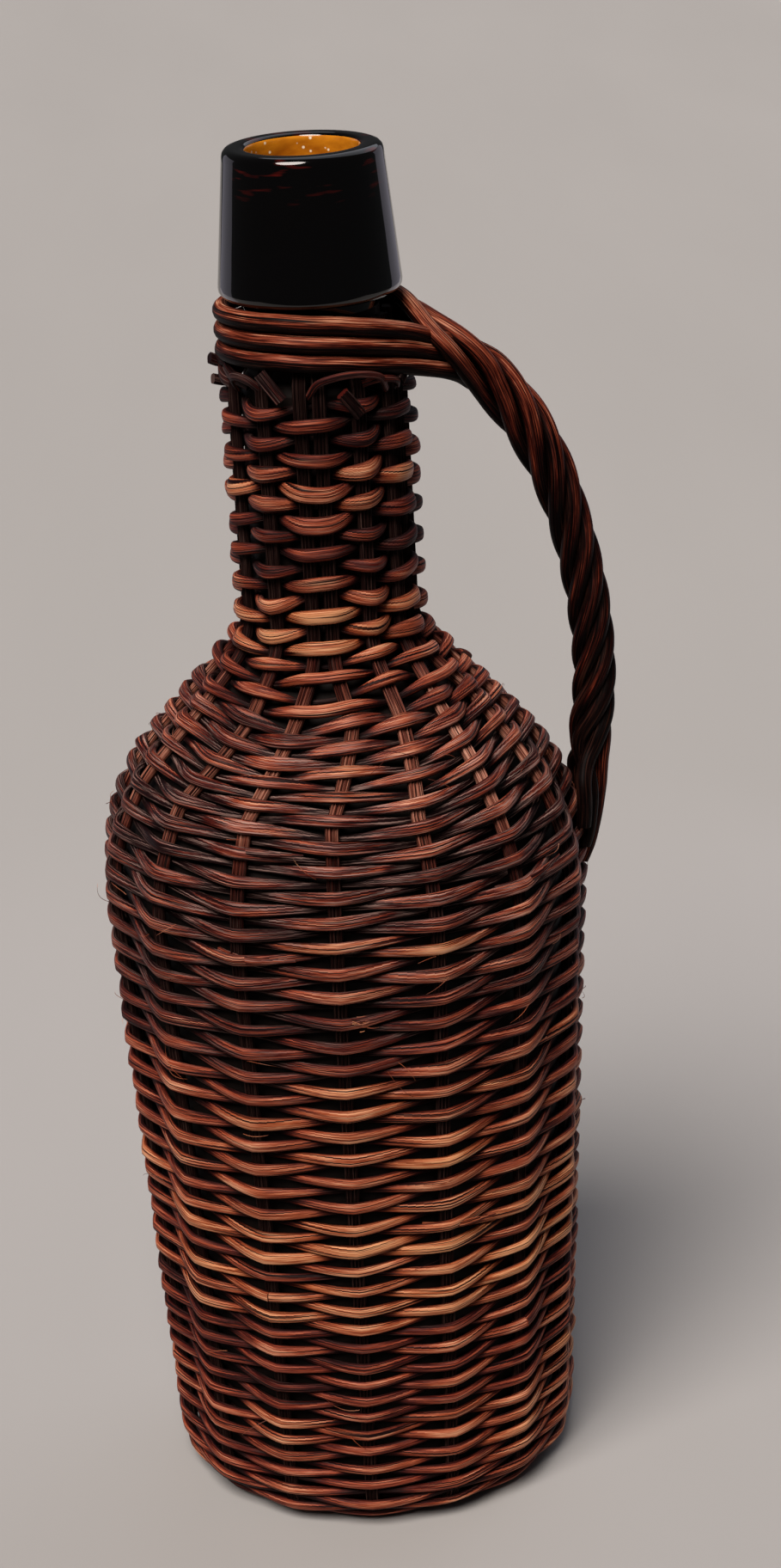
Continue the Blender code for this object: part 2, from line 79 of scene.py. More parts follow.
# Glass a little fuller under the jacket, so that no light shows between the two
covered_swell = 1.6 * mm
neck_swell = 1.9 * mm
swell_gap = 3.0 * mm
swell_round = 1.0 * mm
glass_step = 3.0 * mm
collar_step = 1.0 * mm
glass_sides = 72
glass_sharp_degrees = 45
glass_relief = 0.3 * mm
# Where the painted dull red glint under the lip begins and is full, below the top
painted_glint_depths = (11.0 * mm, 5.0 * mm)
shoulder_height = base_level + body_height
throat_height = shoulder_height + shoulder_rise
collar_bottom = total_height - collar_height

# Jacket: the line that the stakes run on, and the canes laid over and under them
jacket_line = 4.3 * mm
route_step = 0.4 * mm
jacket_thick = 7.44 * mm
stake_thick = 2.2 * mm
stake_wide = 3.3 * mm
stake_count = 15
stake_step = 1.5 * mm
foot_round = 6.6 * mm
stake_start_radius = 12.0 * mm
base_weave_radius = 24.0 * mm
stick_edge = 0.45 * mm
stick_sharp_degrees = 40
stick_relief = 0.2 * mm
gather_lead = 40.0 * mm
throat_lead = 15.0 * mm
neck_group_sizes = (1, 1, 2, 1, 2, 1, 1, 1, 2, 1, 2)
pair_spread = 3.72 * mm
dip_radius = neck_radius + 1.5 * mm
stake_end_height = collar_bottom - 3.3 * mm
stake_dip_height = stake_end_height - 14.0 * mm
stake_dip_rise = 4.5 * mm
dip_round = 4.0 * mm

# Rows: pitch and width of the cane in millimetres. Keys by height are in millimetres too, here and below
row_pitches = {0: 2.42, 36: 2.46, 56: 2.60, 79: 2.84, 106: 3.08, 136: 3.08, 162: 2.92, 186: 2.86,
               206: 3.10, 215: 3.40}
row_widths = {0: 2.50, 36: 2.55, 56: 2.65, 79: 2.80, 106: 3.05, 136: 3.20, 162: 3.20, 186: 3.25,
              206: 3.60, 215: 3.80}
neck_row_pitch = 3.76 * mm
neck_row_wide = 3.50 * mm
neck_row_top = 274.5 * mm
weaver_thick = 1.7 * mm
neck_weaver_thick = 2.1 * mm
lay_lift = 2.05 * mm
neck_lift = 2.3 * mm
# How much higher the rows sit at both sides than in front, and the heights where that begins and ends
row_rise = 3.2 * mm
rise_heights = np.array([6, 30, 190, 215]) * mm
# Heights between which the rows begin to stray more, and by what share
stray_heights = np.array([150, 178]) * mm
stray_shares = (1.0, 1.8)
# Waves in which they stray: size in millimetres, waves in a turn, run and phase of a wave up the jacket
stray_waves = ((0.30, 3, 11.0 * mm, 0.0), (0.24, 5, -7.0 * mm, 0.0), (0.24, 2, 23.0 * mm, 4.0))

# Lightness of the jacket's stain, as its batches of cane were worked in, and its fray
body_stains = {0: .52, 14: .48, 28: .46, 40: .40, 52: .50, 66: .62, 76: .50, 88: .42, 100: .51, 112: .51,
               126: .41, 140: .37, 160: .24, 176: .16, 190: .17, 200: .31}
neck_stains = {198: .32, 206: .43, 212: .48, 218: .50, 226: .41, 231: .30, 235: .10, 240: .02, 246: .04,
               250: .32, 255: .45, 260: .30, 264: .07, 270: .02, 276: .02}
body_frays = {110: 0.1, 165: 0.7, 190: 0.9, 206: 0.3}
neck_fray = 0.15
# Slant of the stain's patches low down
patch_slant = 40.0 * mm
# How many crossings one length of cane passes, where the first cut end may be, and how it dips and rises
batch_crossings = (20, 56)
lowest_splice = 10.0 * mm
splice_dip = 1.2 * mm
splice_rise = 0.5 * mm
# How far the weave stands out near the foot; the stakes' stain with painted shade below the shoulder and on
# the neck, where they lie back in the gaps; and their painted light by height, strongest on the shoulder
foot_lifts = {6: 0.32, 24: 1.0}
foot_settle = 1.5 * mm
stake_stains = {0: 0.12, 140: 0.16, 172: 0.26, 186: 0.60, 205: 0.52, 225: 0.16, 290: 0.08}
stake_painted_light = {150: 0.3, 182: 0.85, 205: 0.8, 225: 0.3}

# Canes that bind the neck and make the handle
binding_radius = 2.05 * mm
binding_top = collar_bottom - 2.5 * mm
binding_pitch = 4.45 * mm
binding_ring = dip_radius + stake_thick / 2 + 0.52 * mm + binding_radius
strand_radius = 2.05 * mm
strand_ease = 1.6 * mm
strand_lay = 3.25 * mm
# How much wider the strands are laid at the head, and the shares of the twist between which that ends
head_lay_share = 0.26
head_lay_reach = (0.18, 0.45)
strand_count = 5
loop_count = 3
handle_root_height = collar_bottom - 17.5 * mm
handle_root_radius = binding_ring + 14.3 * mm
handle_foot_height = shoulder_height + 10.6 * mm
handle_foot_gap = 9.5 * mm
handle_bow = 11.4 * mm
handle_route_shares = (
    (0.0, 1.0), (0.45, 0.915), (0.754, 0.8245), (0.948, 0.711), (1.0, 0.5825),
    (0.939, 0.442), (0.774, 0.302), (0.471, 0.151), (0.0, 0.0),
)
lay_long = 95.0 * mm
lay_short = 50.0 * mm
twist_shift_count = 9
head_shift_share = 0.5
# Height of the binding's loops round the neck, against their height in front, by angle from the front
lean_angles = (-200.0, -140.0, -90.0, -60.0, -25.0, 11.0, 36.3)
lean_heights = np.array([-1.0, -0.8, -0.5, 0.0, 0.1, -1.0, -2.8]) * mm
# Ways of the canes from the binding in millimetres, by loop and side, with the strand that each becomes and
# its share of the twist where it joins; the last is the spare end
leads = {
    (0, -1): (0, 0.045, ((20.6, -10.3, 288.1), (25.6, -6.2, 285.6), (29.8, -2.8, 283.8), (34.8, 0.8, 281.6))),
    (1, -1): (1, 0.055, ((20.6, -10.4, 284.2), (28.2, -4.5, 281.0), (33.4, 0.4, 278.4))),
    (2, -1): (2, 0.04, ((20.4, -10.6, 280.0), (29.2, -4.6, 277.1), (33.4, -1.4, 275.0))),
    (0, 1): (3, 0.085, ((17.6, 10.8, 293.4), (21.2, 4.0, 292.7), (23.8, -1.6, 290.2), (26.6, -5.8, 286.6),
                        (29.7, -8.3, 283.4), (32.9, -7.6, 278.9), (36.0, -5.0, 273.8))),
    (1, 1): (4, 0.11, ((17.6, 12.4, 290.2), (23.0, 7.4, 289.8), (28.4, 1.4, 287.2), (33.0, -2.4, 284.6),
                       (36.8, -4.4, 281.4), (39.8, -4.8, 277.4))),
    (2, 1): (None, None, ((17.2, 12.8, 286.5), (22.4, 8.2, 287.0), (28.4, 4.2, 284.6))),
}
# Way of a strand's end down over the jacket, and its gap to the jacket's outside
tail_top = 184.0 * mm
tail_end = 151.0 * mm
tail_gaps = {151: -1.8, 156: 0.2, 162: 2.2, 170: 5.3, 177: 7.5, 184: 9.0}
tail_stagger = 6.0 * mm
fan_pitch = 3.9 * mm
# Stain of the canes by height, painted shade on the canes behind at the head, and across a tail darker beside
# its middle
handle_stains = {170: 0.10, 240: 0.17, 272: 0.32, 284: 0.43}
head_level = 280.0 * mm
tail_middle = 2.3 * mm

# Cut stake ends above the neck's last row: degrees from the front, height, degrees of lean and length
cut_ends = (
    (-27, 279.6, -12.0, 6.2), (20, 275.0, -11.2, 5.6), (64, 280.0, 12.0, 5.0),
    (120, 279.0, -8.0, 7.0), (176, 280.0, 8.0, 6.0), (-140, 278.5, 8.0, 7.0),
)
cut_end_radius = dip_radius + 5.6 * mm
cut_end_wide = 3.1 * mm
cut_end_thick = 1.8 * mm
cut_end_flare = 0.8 * mm
# Thin canes looped or curled there: width, stain, and a way by degrees, radius and height
loose_canes = (
    (1.7, 0.34, ((-6, 19.5, 276.5), (2, 22.5, 280.5), (20, 23.2, 281.8), (38, 23.0, 280.2),
                 (50, 20.5, 276.0))),
    (1.6, 0.36, ((30, 20.6, 278.6), (40, 22.4, 279.4), (54, 22.4, 278.0), (66, 20.2, 275.4))),
    (3.2, 0.14, ((-108, 18.4, 284.8), (-96, 21.2, 284.6), (-86, 21.4, 282.9), (-76, 19.2, 281.8))),
    (3.0, 0.16, ((-104, 18.6, 281.2), (-92, 21.0, 280.2), (-80, 21.0, 278.4), (-68, 19.0, 277.2))),
    (2.8, 0.10, ((-92, 18.6, 280.6), (-91, 22.0, 281.4), (-89, 24.0, 282.4))),
    (2.4, 0.12, ((-96, 18.4, 276.0), (-93, 21.6, 276.6), (-90, 23.6, 277.4))),
    (2.6, 0.14, ((-84, 18.6, 280.8), (-76, 20.6, 281.4), (-64, 20.6, 279.8), (-54, 18.8, 278.0))),
    (1.9, 0.24, ((-70, 19.0, 276.0), (-60, 21.8, 280.2), (-46, 21.8, 280.4), (-38, 19.2, 277.0))),
    (1.9, 0.28, ((60, 20.0, 275.5), (66, 23.0, 280.0), (80, 23.4, 281.0), (92, 20.5, 276.5))),
    (1.8, 0.3, ((140, 20.0, 275.5), (150, 23.2, 280.5), (166, 23.0, 279.5), (176, 20.5, 275.5))),
)

# Loose fibres, each from above one of two heights, with lengths in millimetres, and a tuft at the left
hair_count = 90
hair_lows = (120.0 * mm, 12.0 * mm)
hair_lengths = (3.0, 10.0)
tuft_count = 10
tuft_lengths = (1.0, 3.5)
tuft_degrees = -96.0
tuft_height = 135.0 * mm
tuft_lift = 0.45 * mm

# Photographed view: the camera's place, aim and roll
view_distance = 793.5 * mm
view_height = 476.2 * mm
view_degrees = -3.0
front_degrees = view_degrees - 90.0
view_roll = -0.0545
view_yaw = 0.0152
view_pitch = 0.3622
focal_pixels = 4118.8
frame_pixels = 1824
sensor_tall = 24.0

# Surroundings in metres: the board under the bottle, and an upright strip light at each side
floor_wide = 1.6
floor_deep = 8.0
floor_front = -0.30
floor_drop = 0.05 * mm
strip_wide = 0.26
strip_tall = 0.5
strip_power = 0.19
strip_place = (0.31, 0.30, 0.20)

# Daylight: power, width in degrees, colour and the side that it comes from
skies = {
    "window_sky": (4.6, 34, "#fff4ec", (-0.34, -0.66, 1.0)),
    "back_sky": (0.55, 60, "#f1f4ff", (0.5, 0.8, 1.0)),
}
air_strength = 0.06

chance = np.random.default_rng(11)


# Helpers for objects and materials

def linear(hex_colour):
    """Linear RGB of an sRGB hex colour."""
    parts = [int(hex_colour[i:i + 2], 16) / 255 for i in (1, 3, 5)]
    return [((c + 0.055) / 1.055) ** 2.4 if c > 0.04045 else c / 12.92 for c in parts]


def add_node(near, kind, settings=None, **links):
    """One node in the tree of a socket, its settings by name or socket, and the sockets that feed it."""
    tree = near.id_data
    made = tree.nodes.new("ShaderNode" + kind)
    for name, value in (settings or {}).items():
        if isinstance(name, int) or name in made.inputs:
            made.inputs[name].default_value = value
        else:
            setattr(made, name, value)
    for name, source in links.items():
        socket = int(name[2:]) if name.startswith("in") else name.replace("_", " ")
        tree.links.new(source, made.inputs[socket])
    return made


def new_material(name, constants):
    """A material with constants on its shader's sockets, its node tree and the shader."""
    made = bpy.data.materials.new(name)
    made.use_nodes = True
    tree = made.node_tree
    shader = tree.nodes["Principled BSDF"]
    for socket, value in constants.items():
        shader.inputs[socket].default_value = value
    return made, tree, shader


def add_object(name, data):
    item = bpy.data.objects.new(name, data)
    bpy.context.scene.collection.objects.link(item)
    return item


def ramp(factor, *stops):
    """A colour by a factor, from its places between 0 and 1 and their hex colours."""
    made = add_node(factor, "ValToRGB", Fac=factor)
    elements = made.color_ramp.elements
    for place, colour in stops:
        stop = elements.new(place) if 0 < place < 1 else elements[0 if place == 0 else len(elements) - 1]
        stop.color = (*linear(colour), 1.0)
    return made.outputs["Color"]


def mixed(factor, first, second):
    """First colour to second by a factor; either may be a hex colour or a socket."""
    mix = add_node(factor, "Mix", {"data_type": "RGBA"}, in0=factor)
    for slot, colour in ((6, first), (7, second)):
        if isinstance(colour, str):
            mix.inputs[slot].default_value = (*linear(colour), 1.0)
        else:
            factor.id_data.links.new(colour, mix.inputs[slot])
    return mix.outputs[2]


def noise(place, scale, detail, roughness=0.5):
    """Noise over a place that is scaled along each axis."""
    scaled = add_node(place, "Mapping", {"Scale": scale}, Vector=place).outputs[0]
    settings = {"Scale": 1.0, "Detail": detail, "Roughness": roughness}
    return add_node(place, "TexNoise", settings, Vector=scaled).outputs["Fac"]


def levels(source, low, high, low_out=0.0, high_out=1.0):
    """A value between two levels, brought between two others."""
    settings = {1: low, 2: high, 3: low_out, 4: high_out}
    return add_node(source, "MapRange", settings, in0=source).outputs[0]


def maths(operation, first, second):
    """Two values added or multiplied."""
    settings = {"operation": operation}
    return add_node(first, "Math", settings, in0=first, in1=second).outputs[0]


def emboss(shader, height, strength, distance):
    """Relief by a height in the shader's normal."""
    settings = {"Strength": strength, "Distance": distance}
    bump = add_node(height, "Bump", settings, Height=height)
    height.id_data.links.new(bump.outputs[0], shader.inputs["Normal"])


# Helpers for routes and swept canes

def unit(vectors):
    """Rows of vectors, each made one long."""
    return vectors / np.linalg.norm(vectors, axis=1)[:, None]


def run_along(points):
    """Distance of each point from the first along the route."""
    return np.concatenate([[0.0], np.cumsum(np.linalg.norm(np.diff(points, axis=0), axis=1))])


def at_distances(points, distances):
    """Points of a route at distances along it."""
    run = run_along(points)
    return np.stack([np.interp(distances, run, column) for column in points.T], axis=1)


def catmull(points, share):
    """Point at a share of the way along a smooth curve through the points."""
    spans = len(points) - 1
    span = min(int(share * spans), spans - 1)
    t = share * spans - span
    p1, p2 = points[span], points[span + 1]
    p0 = points[span - 1] if span else 2 * p1 - p2
    p3 = points[span + 2] if span + 2 < len(points) else 2 * p2 - p1
    cubic = (3 * p1 - p0 - 3 * p2 + p3) * t ** 3
    return (2 * p1 + (p2 - p0) * t + (2 * p0 - 5 * p1 + 4 * p2 - p3) * t ** 2 + cubic) / 2


def polar(angle, radius, height):
    """Points by their angle round the axis, radius and height."""
    return np.stack([radius * np.cos(angle), radius * np.sin(angle), height], axis=-1)


def keyed(height, keys):
    """Value at a height, from values by height in millimetres."""
    return np.interp(height, np.array(list(keys)) * mm, list(keys.values()))


def sweep(centres, outs, wides, thicks, profile):
    """Rings of a cane's section along its route, and its faces and their UVs in millimetres."""
    count, sides = len(centres), len(profile)
    along = unit(np.gradient(centres, axis=0))
    across = unit(np.cross(along, outs))
    up = np.cross(across, along)
    flat = profile[None, :, 0, None] * across[:, None, :] * wides[:, None, None] / 2
    tall = profile[None, :, 1, None] * up[:, None, :] * thicks[:, None, None] / 2
    points = (centres[:, None, :] + flat + tall).reshape(-1, 3)
    run = run_along(centres) / mm
    girth = run_along(np.concatenate([profile, profile[:1]]))
    ring, side = np.divmod(np.arange((count - 1) * sides), sides)
    a, b = ring * sides + side, ring * sides + (side + 1) % sides
    wide = wides[ring] / mm / 2
    u0, u1, v0, v1 = run[ring], run[ring + 1], girth[side] * wide, girth[side + 1] * wide
    faces = np.stack([a, b, b + sides, a + sides], axis=1).tolist()
    uvs = np.stack([u0, v0, u0, v1, u1, v1, u1, v0], axis=1).reshape(-1, 2)
    faces.append(list(range(sides))[::-1])
    faces.append(list(range((count - 1) * sides, count * sides)))
    caps = np.repeat([[run[0], 0.0], [run[-1], 0.0]], sides, axis=0)
    return points, faces, np.concatenate([uvs, caps])


def show(name, parts, material, node=None):
    """One piece from its swept canes, in place of a node of the solids where it has one."""
    faces, shift = [], 0
    for part in parts:
        faces += [[index + shift for index in face] for face in part[1]]
        shift += len(part[0])
    points, uvs, tones = (np.concatenate([part[kind] for part in parts]) for kind in (0, 2, 3))
    mesh = bpy.data.meshes.new(name)
    mesh.from_pydata(points.tolist(), [], faces)
    layer = mesh.uv_layers.new(name="lay")
    layer.data.foreach_set("uv", uvs.astype(np.float32).ravel())
    attribute = mesh.attributes.new("cane", "FLOAT_COLOR", "POINT")
    attribute.data.foreach_set("color", tones.astype(np.float32).ravel())
    mesh.materials.append(material)
    mesh.shade_smooth()
    mesh.set_sharp_from_angle(angle=radians(sharp_degrees))
    item = add_object(name, mesh)
    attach(item, "root")
    if node:
        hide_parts(node)


# Outline of the jacket

def offset_corners(corners, distance):
    """Corners of an outline moved outwards, square to its runs."""
    normals = []
    for (r0, z0), (r1, z1) in zip(corners, corners[1:]):
        length = hypot(r1 - r0, z1 - z0)
        normals.append(((z1 - z0) / length, (r0 - r1) / length))
    moved = []
    for index, (r, z) in enumerate(corners):
        before = normals[max(index - 1, 0)]
        after = normals[min(index, len(normals) - 1)]
        share = distance / (1 + before[0] * after[0] + before[1] * after[1])
        moved.append((r + share * (before[0] + after[0]), z + share * (before[1] + after[1])))
    return moved


def rounded_outline(corners, rounds, step):
    """Points (r, z) along straight runs with an arc at each inner corner."""
    points = [Vector(corners[0])]

    def run_to(end):
        start = points[-1]
        pieces = max(1, ceil((end - start).length / step))
        points.extend([start.lerp(end, (i + 1) / pieces) for i in range(pieces)])

    for before, corner, after, radius in zip(corners, corners[1:], corners[2:], rounds):
        corner = Vector(corner)
        incoming = (corner - Vector(before)).normalized()
        outgoing = (Vector(after) - corner).normalized()
        turn = atan2(incoming.x * outgoing.y - incoming.y * outgoing.x, incoming.dot(outgoing))
        side = 1 if turn > 0 else -1
        arc_start = corner - incoming * radius * tan(abs(turn) / 2)
        centre = arc_start + Vector((-incoming.y, incoming.x)) * side * radius
        angle = atan2(arc_start.y - centre.y, arc_start.x - centre.x)
        run_to(arc_start)
        pieces = max(3, ceil(radius * abs(turn) / step))
        for i in range(1, pieces + 1):
            at = angle + turn * i / pieces
            points.append(centre + radius * Vector((cos(at), sin(at))))
    run_to(Vector(corners[-1]))
    return np.array([tuple(point) for point in points])


class Route:
    """A line up the jacket that gives radius, height and outward direction by distance."""

    def __init__(self, corners, rounds):
        self.line = rounded_outline(corners, rounds, route_step)
        self.run = run_along(self.line)
        self.turn = unit(np.gradient(self.line, axis=0))

    def at(self, distance):
        """Radius, height and the two parts of the direction."""
        r, z, dr, dz = (np.interp(distance, self.run, values) for values in (*self.line.T, *self.turn.T))
        size = np.hypot(dr, dz)
        return r, z, dr / size, dz / size

    def reach(self, height):
        """First distance where the line passes a height."""
        return float(self.run[np.argmax(self.line[:, 1] > height)])


glass_corners = [
    (0.0, base_level),
    (foot_radius, base_level),
    (shoulder_radius, shoulder_height),
    (neck_radius, throat_height),
    (neck_radius, collar_bottom),
]
line_corners = offset_corners(glass_corners, jacket_line)
line_rounds = (foot_round, shoulder_round + jacket_line, throat_round - jacket_line)
weave_route = Route(line_corners, line_rounds)
neck_line = line_corners[3][0]
stake_route = Route(
    line_corners[:4] + [
        (neck_line, stake_dip_height),
        (dip_radius, stake_dip_height + stake_dip_rise),
        (dip_radius, stake_end_height),
    ],
    line_rounds + (dip_round, dip_round),
)
throat_distance = weave_route.reach(throat_height)
gather_start = throat_distance - gather_lead
weave_end = throat_distance - throat_lead
gather_end = throat_distance
group_count = len(neck_group_sizes)
group_members = []
for size in neck_group_sizes:
    first = sum(len(members) for members in group_members)
    group_members.append(list(range(first, first + size)))
pair_half_angle = pair_spread / dip_radius / 2
rise_reaches = [weave_route.reach(height) for height in rise_heights]
stray_reaches = [weave_route.reach(height) for height in stray_heights]


def stake_angle(stake, distance):
    """Angle of a stake round the axis: even on the body, in singles and pairs on the neck."""
    number = stake % stake_count
    group = next(i for i, members in enumerate(group_members) if number in members)
    members = group_members[group]
    side = 0 if len(members) == 1 else (-1 if number == members[0] else 1)
    even = number * 2 * pi / stake_count
    centre_even = sum(members) / len(members) * 2 * pi / stake_count
    shift = np.clip((distance - gather_start) / (weave_end - gather_start), 0.0, 1.0)
    centre = centre_even + shift * (group * 2 * pi / group_count - centre_even)
    close = np.clip((distance - weave_end) / (gather_end - weave_end), 0.0, 1.0)
    turns = stake // stake_count * 2 * pi
    return turns + centre + (even - centre_even) * (1 - close) + side * pair_half_angle * close


def jacket_points(route, distance, angle, lift):
    """Points on the jacket and their outward directions."""
    r, z, dr, dz = route.at(distance)
    out_r, out_z = dz, -dr
    radius, height = r + out_r * lift, z + out_z * lift
    return polar(angle, radius, height), polar(angle, out_r, out_z)


# Materials

def cane_material(name, stains, frayed, roughness, groove_mm, relief_mm, shine=0.12, golden=0.6):
    """Stained cane, its fibres and split grooves running along it, with painted light on its crests and
    painted shade on its sides and where it passes behind.

    The attribute holds the stain's lightness with painted shade in it, the fray, a number for each cane, and
    its painted light: how far out it stands in the weave and how it faces the light.
    """
    made, tree, shader = new_material(name, {"IOR": 1.45, "Specular IOR Level": shine})
    lay = add_node(tree, "UVMap", {"uv_map": "lay"})
    cane = add_node(tree, "Attribute", {"attribute_name": "cane"})
    stain, fray, number = add_node(tree, "SeparateColor", Color=cane.outputs["Color"]).outputs[:3]
    shift = add_node(tree, "Math", {"operation": "MULTIPLY", 1: 370.0}, in0=number).outputs[0]
    shift_both = add_node(tree, "CombineXYZ", X=shift, Y=shift)
    place = add_node(tree, "VectorMath", {"operation": "ADD"},
                     in0=lay.outputs["UV"], in1=shift_both.outputs[0]).outputs[0]

    def grain(along_mm, across_mm, detail):
        """Noise drawn out along the cane, from the size of one streak."""
        return noise(place, (1 / along_mm, 1 / across_mm, 1.0), detail, 0.6)

    fibres = grain(11.0, 0.30, 3.0)
    split = maths("MULTIPLY", levels(fibres, 0.34, 0.68, -0.32, 0.32), levels(fray, 0.1, 0.9, 1.0, 1.7))
    # Painted light and shade from the attribute's fourth channel, added to long streaks of tone
    streaks_and_painted_light = maths("ADD", levels(grain(26.0, 3.0, 3.0), 0.3, 0.7, -0.18, 0.18),
                   levels(cane.outputs["Alpha"], 0.1, 1.0, -0.74, 0.22))
    tone = maths("ADD", maths("ADD", stain, split), streaks_and_painted_light)
    brown = ramp(tone, (0, stains[0]), (0.34, stains[1]), (0.64, stains[2]), (1, stains[3]))
    honey = ramp(tone, (0, stains[0]), (0.34, "#4c1b0b"), (0.66, "#9e5427"), (1, "#d39660"))
    toned = mixed(levels(stain, 0.40, 0.72, 0.0, golden), brown, honey)
    frayed_part = maths("MULTIPLY", fray, levels(grain(13.0, 0.36, 3.0), 0.50, 0.66, 0.0, 0.9))
    beside_groove = levels(grain(60.0, groove_mm, 1.0), 0.39, 0.45)
    surface = mixed(frayed_part, toned, frayed)
    tree.links.new(mixed(beside_groove, stains[0], surface), shader.inputs["Base Color"])
    half_fibres = add_node(tree, "Math", {"operation": "MULTIPLY", 1: 0.5}, in0=fibres).outputs[0]
    emboss(shader, maths("ADD", half_fibres, beside_groove), 0.7, relief_mm * mm)
    tree.links.new(levels(tone, 0.0, 1.0, roughness + 0.22, roughness), shader.inputs["Roughness"])
    return made


def glass_material():
    """Thick blown amber glass, so dark that it looks black, with a painted dull red glint in streaks just
    under the lip.
    """
    made, tree, shader = new_material("dark_amber_glass", {"IOR": 1.5})
    place = add_node(tree, "TexCoord").outputs["Object"]
    wave = noise(place, (90.0, 90.0, 40.0), 2.0)
    emboss(shader, wave, 0.3, glass_relief)
    tree.links.new(levels(wave, 0.3, 0.7, 0.02, 0.10), shader.inputs["Roughness"])
    # Painted glint: streaks of dull red in a band just under the lip
    painted_glint_streak = levels(noise(place, (110.0, 110.0, 620.0), 2.0), 0.60, 0.76)
    height = add_node(tree, "SeparateXYZ", Vector=place).outputs["Z"]
    painted_glint_band = levels(height, *(total_height - depth for depth in painted_glint_depths))
    tint = ramp(maths("MULTIPLY", painted_glint_streak, painted_glint_band), (0, "#020101"), (1, "#4a0c08"))
    tree.links.new(tint, shader.inputs["Base Color"])
    return made


def lit_amber_material():
    """The same glass inside the mouth, painted orange where light would come in through the lip, with painted
    white glints in it.
    """
    made, tree, shader = new_material("lit_amber_glass", {"IOR": 1.5, "Roughness": 0.16})
    place = add_node(tree, "TexCoord").outputs["Object"]
    height = add_node(tree, "SeparateXYZ", Vector=place).outputs["Z"]
    # Painted light: the orange fades with depth below the lip
    fade = levels(height, total_height - lit_depth, total_height - lip_round, 0.0, 0.85)
    cloud = noise(place, (120.0, 120.0, 260.0), 3.0)
    lit = maths("ADD", fade, levels(cloud, 0.3, 0.7, -0.22, 0.22))
    amber = ramp(lit, (0, "#160502"), (0.45, "#7c3605"), (1, "#d98a1c"))
    # Painted glints: small white specks over the inside
    cells = add_node(tree, "TexVoronoi", {"Scale": 420.0}, Vector=place)
    painted_glints = levels(cells.outputs["Distance"], 0.10, 0.17, 1.0, 0.0)
    tree.links.new(mixed(painted_glints, amber, "#f2e2c4"), shader.inputs["Base Color"])
    emboss(shader, cloud, 0.4, glass_relief)
    return made


def speckled_material(name, scale, detail, dark, light, constants, relief=0.0):
    """A surface whose colour strays between two shades."""
    made, tree, shader = new_material(name, constants)
    place = add_node(tree, "TexCoord").outputs["Object"]
    specks = noise(place, (scale, scale, scale), detail)
    tree.links.new(ramp(specks, (0, dark), (1, light)), shader.inputs["Base Color"])
    if relief:
        emboss(shader, specks, 0.4, relief)
    return made


glass = glass_material()
# The glass under the jacket, dark and matte: painted shade for the shadow that the jacket casts on it
covered_glass = speckled_material("dusty_covered_glass", 300.0, 3.0, "#050302", "#150b08",
                                  {"Roughness": 0.7, "Specular IOR Level": 0.15})
lit_amber = lit_amber_material()
weaver_cane = cane_material("stained_split_cane", ("#120203", "#48130d", "#93442c", "#cf9678"), "#b8968c",
                            0.42, 0.45, 0.20)
stake_cane = cane_material("grooved_stake_cane", ("#140403", "#471811", "#89503e", "#c08f7a"), "#8f6f65",
                           0.5, 0.6, 0.20, golden=0.0)
handle_cane = cane_material("varnished_whole_cane", ("#050101", "#2f0b07", "#7e3824", "#d09878"), "#6f4234",
                            0.34, 0.5, 0.16, shine=0.06, golden=0.2)
base_wood = speckled_material("split_base_wood", 700.0, 4.0, "#3a1a10", "#86512f", {"Roughness": 0.6},
                              stick_relief)
painted_board = speckled_material("matte_painted_board", 14.0, 4.0, "#9a9998", "#a1a09f", {"Roughness": 0.85})


# Glass bottle

def bottle_outline():
    """Outside, lip and inside of the bottle as (r, z), from the punt up and back down inside."""
    steps = 8
    punt = [(punt_radius * i / steps, base_level + punt_rise * cos(i / steps * pi / 2) ** 2)
            for i in range(1, steps)]
    swollen_neck = neck_radius + neck_swell
    swollen = [
        (0.0, base_level), *((r + covered_swell, z) for r, z in glass_corners[1:3]),
        (swollen_neck, throat_height), (swollen_neck, stake_dip_height - swell_gap),
        (neck_radius, stake_dip_height), (neck_radius, collar_bottom),
    ]
    outer = rounded_outline(
        swollen, (heel_round, shoulder_round, throat_round, swell_round, swell_round), glass_step)
    collar = rounded_outline(
        [(neck_radius, collar_bottom), (collar_base_radius, collar_bottom),
         (collar_top_radius, total_height), (mouth_radius, total_height),
         (mouth_radius, total_height - 2 * lip_round)],
        (collar_edge_round, lip_round, mouth_round), collar_step)
    inner_corners = offset_corners(glass_corners, -wall)
    inner_corners[-1] = (inner_corners[-1][0], collar_bottom)
    inner = rounded_outline(
        inner_corners, (heel_round - wall / 2, shoulder_round - wall, throat_round + wall), glass_step)

    def past_punt(points):
        return [(r, z) for r, z in points if r > punt_radius or z > base_level + heel_round]

    outline = punt + past_punt(outer) + [tuple(point) for point in collar[1:]] + past_punt(inner[::-1])
    outline += [(r, z + wall) for r, z in reversed(punt)]
    return outline


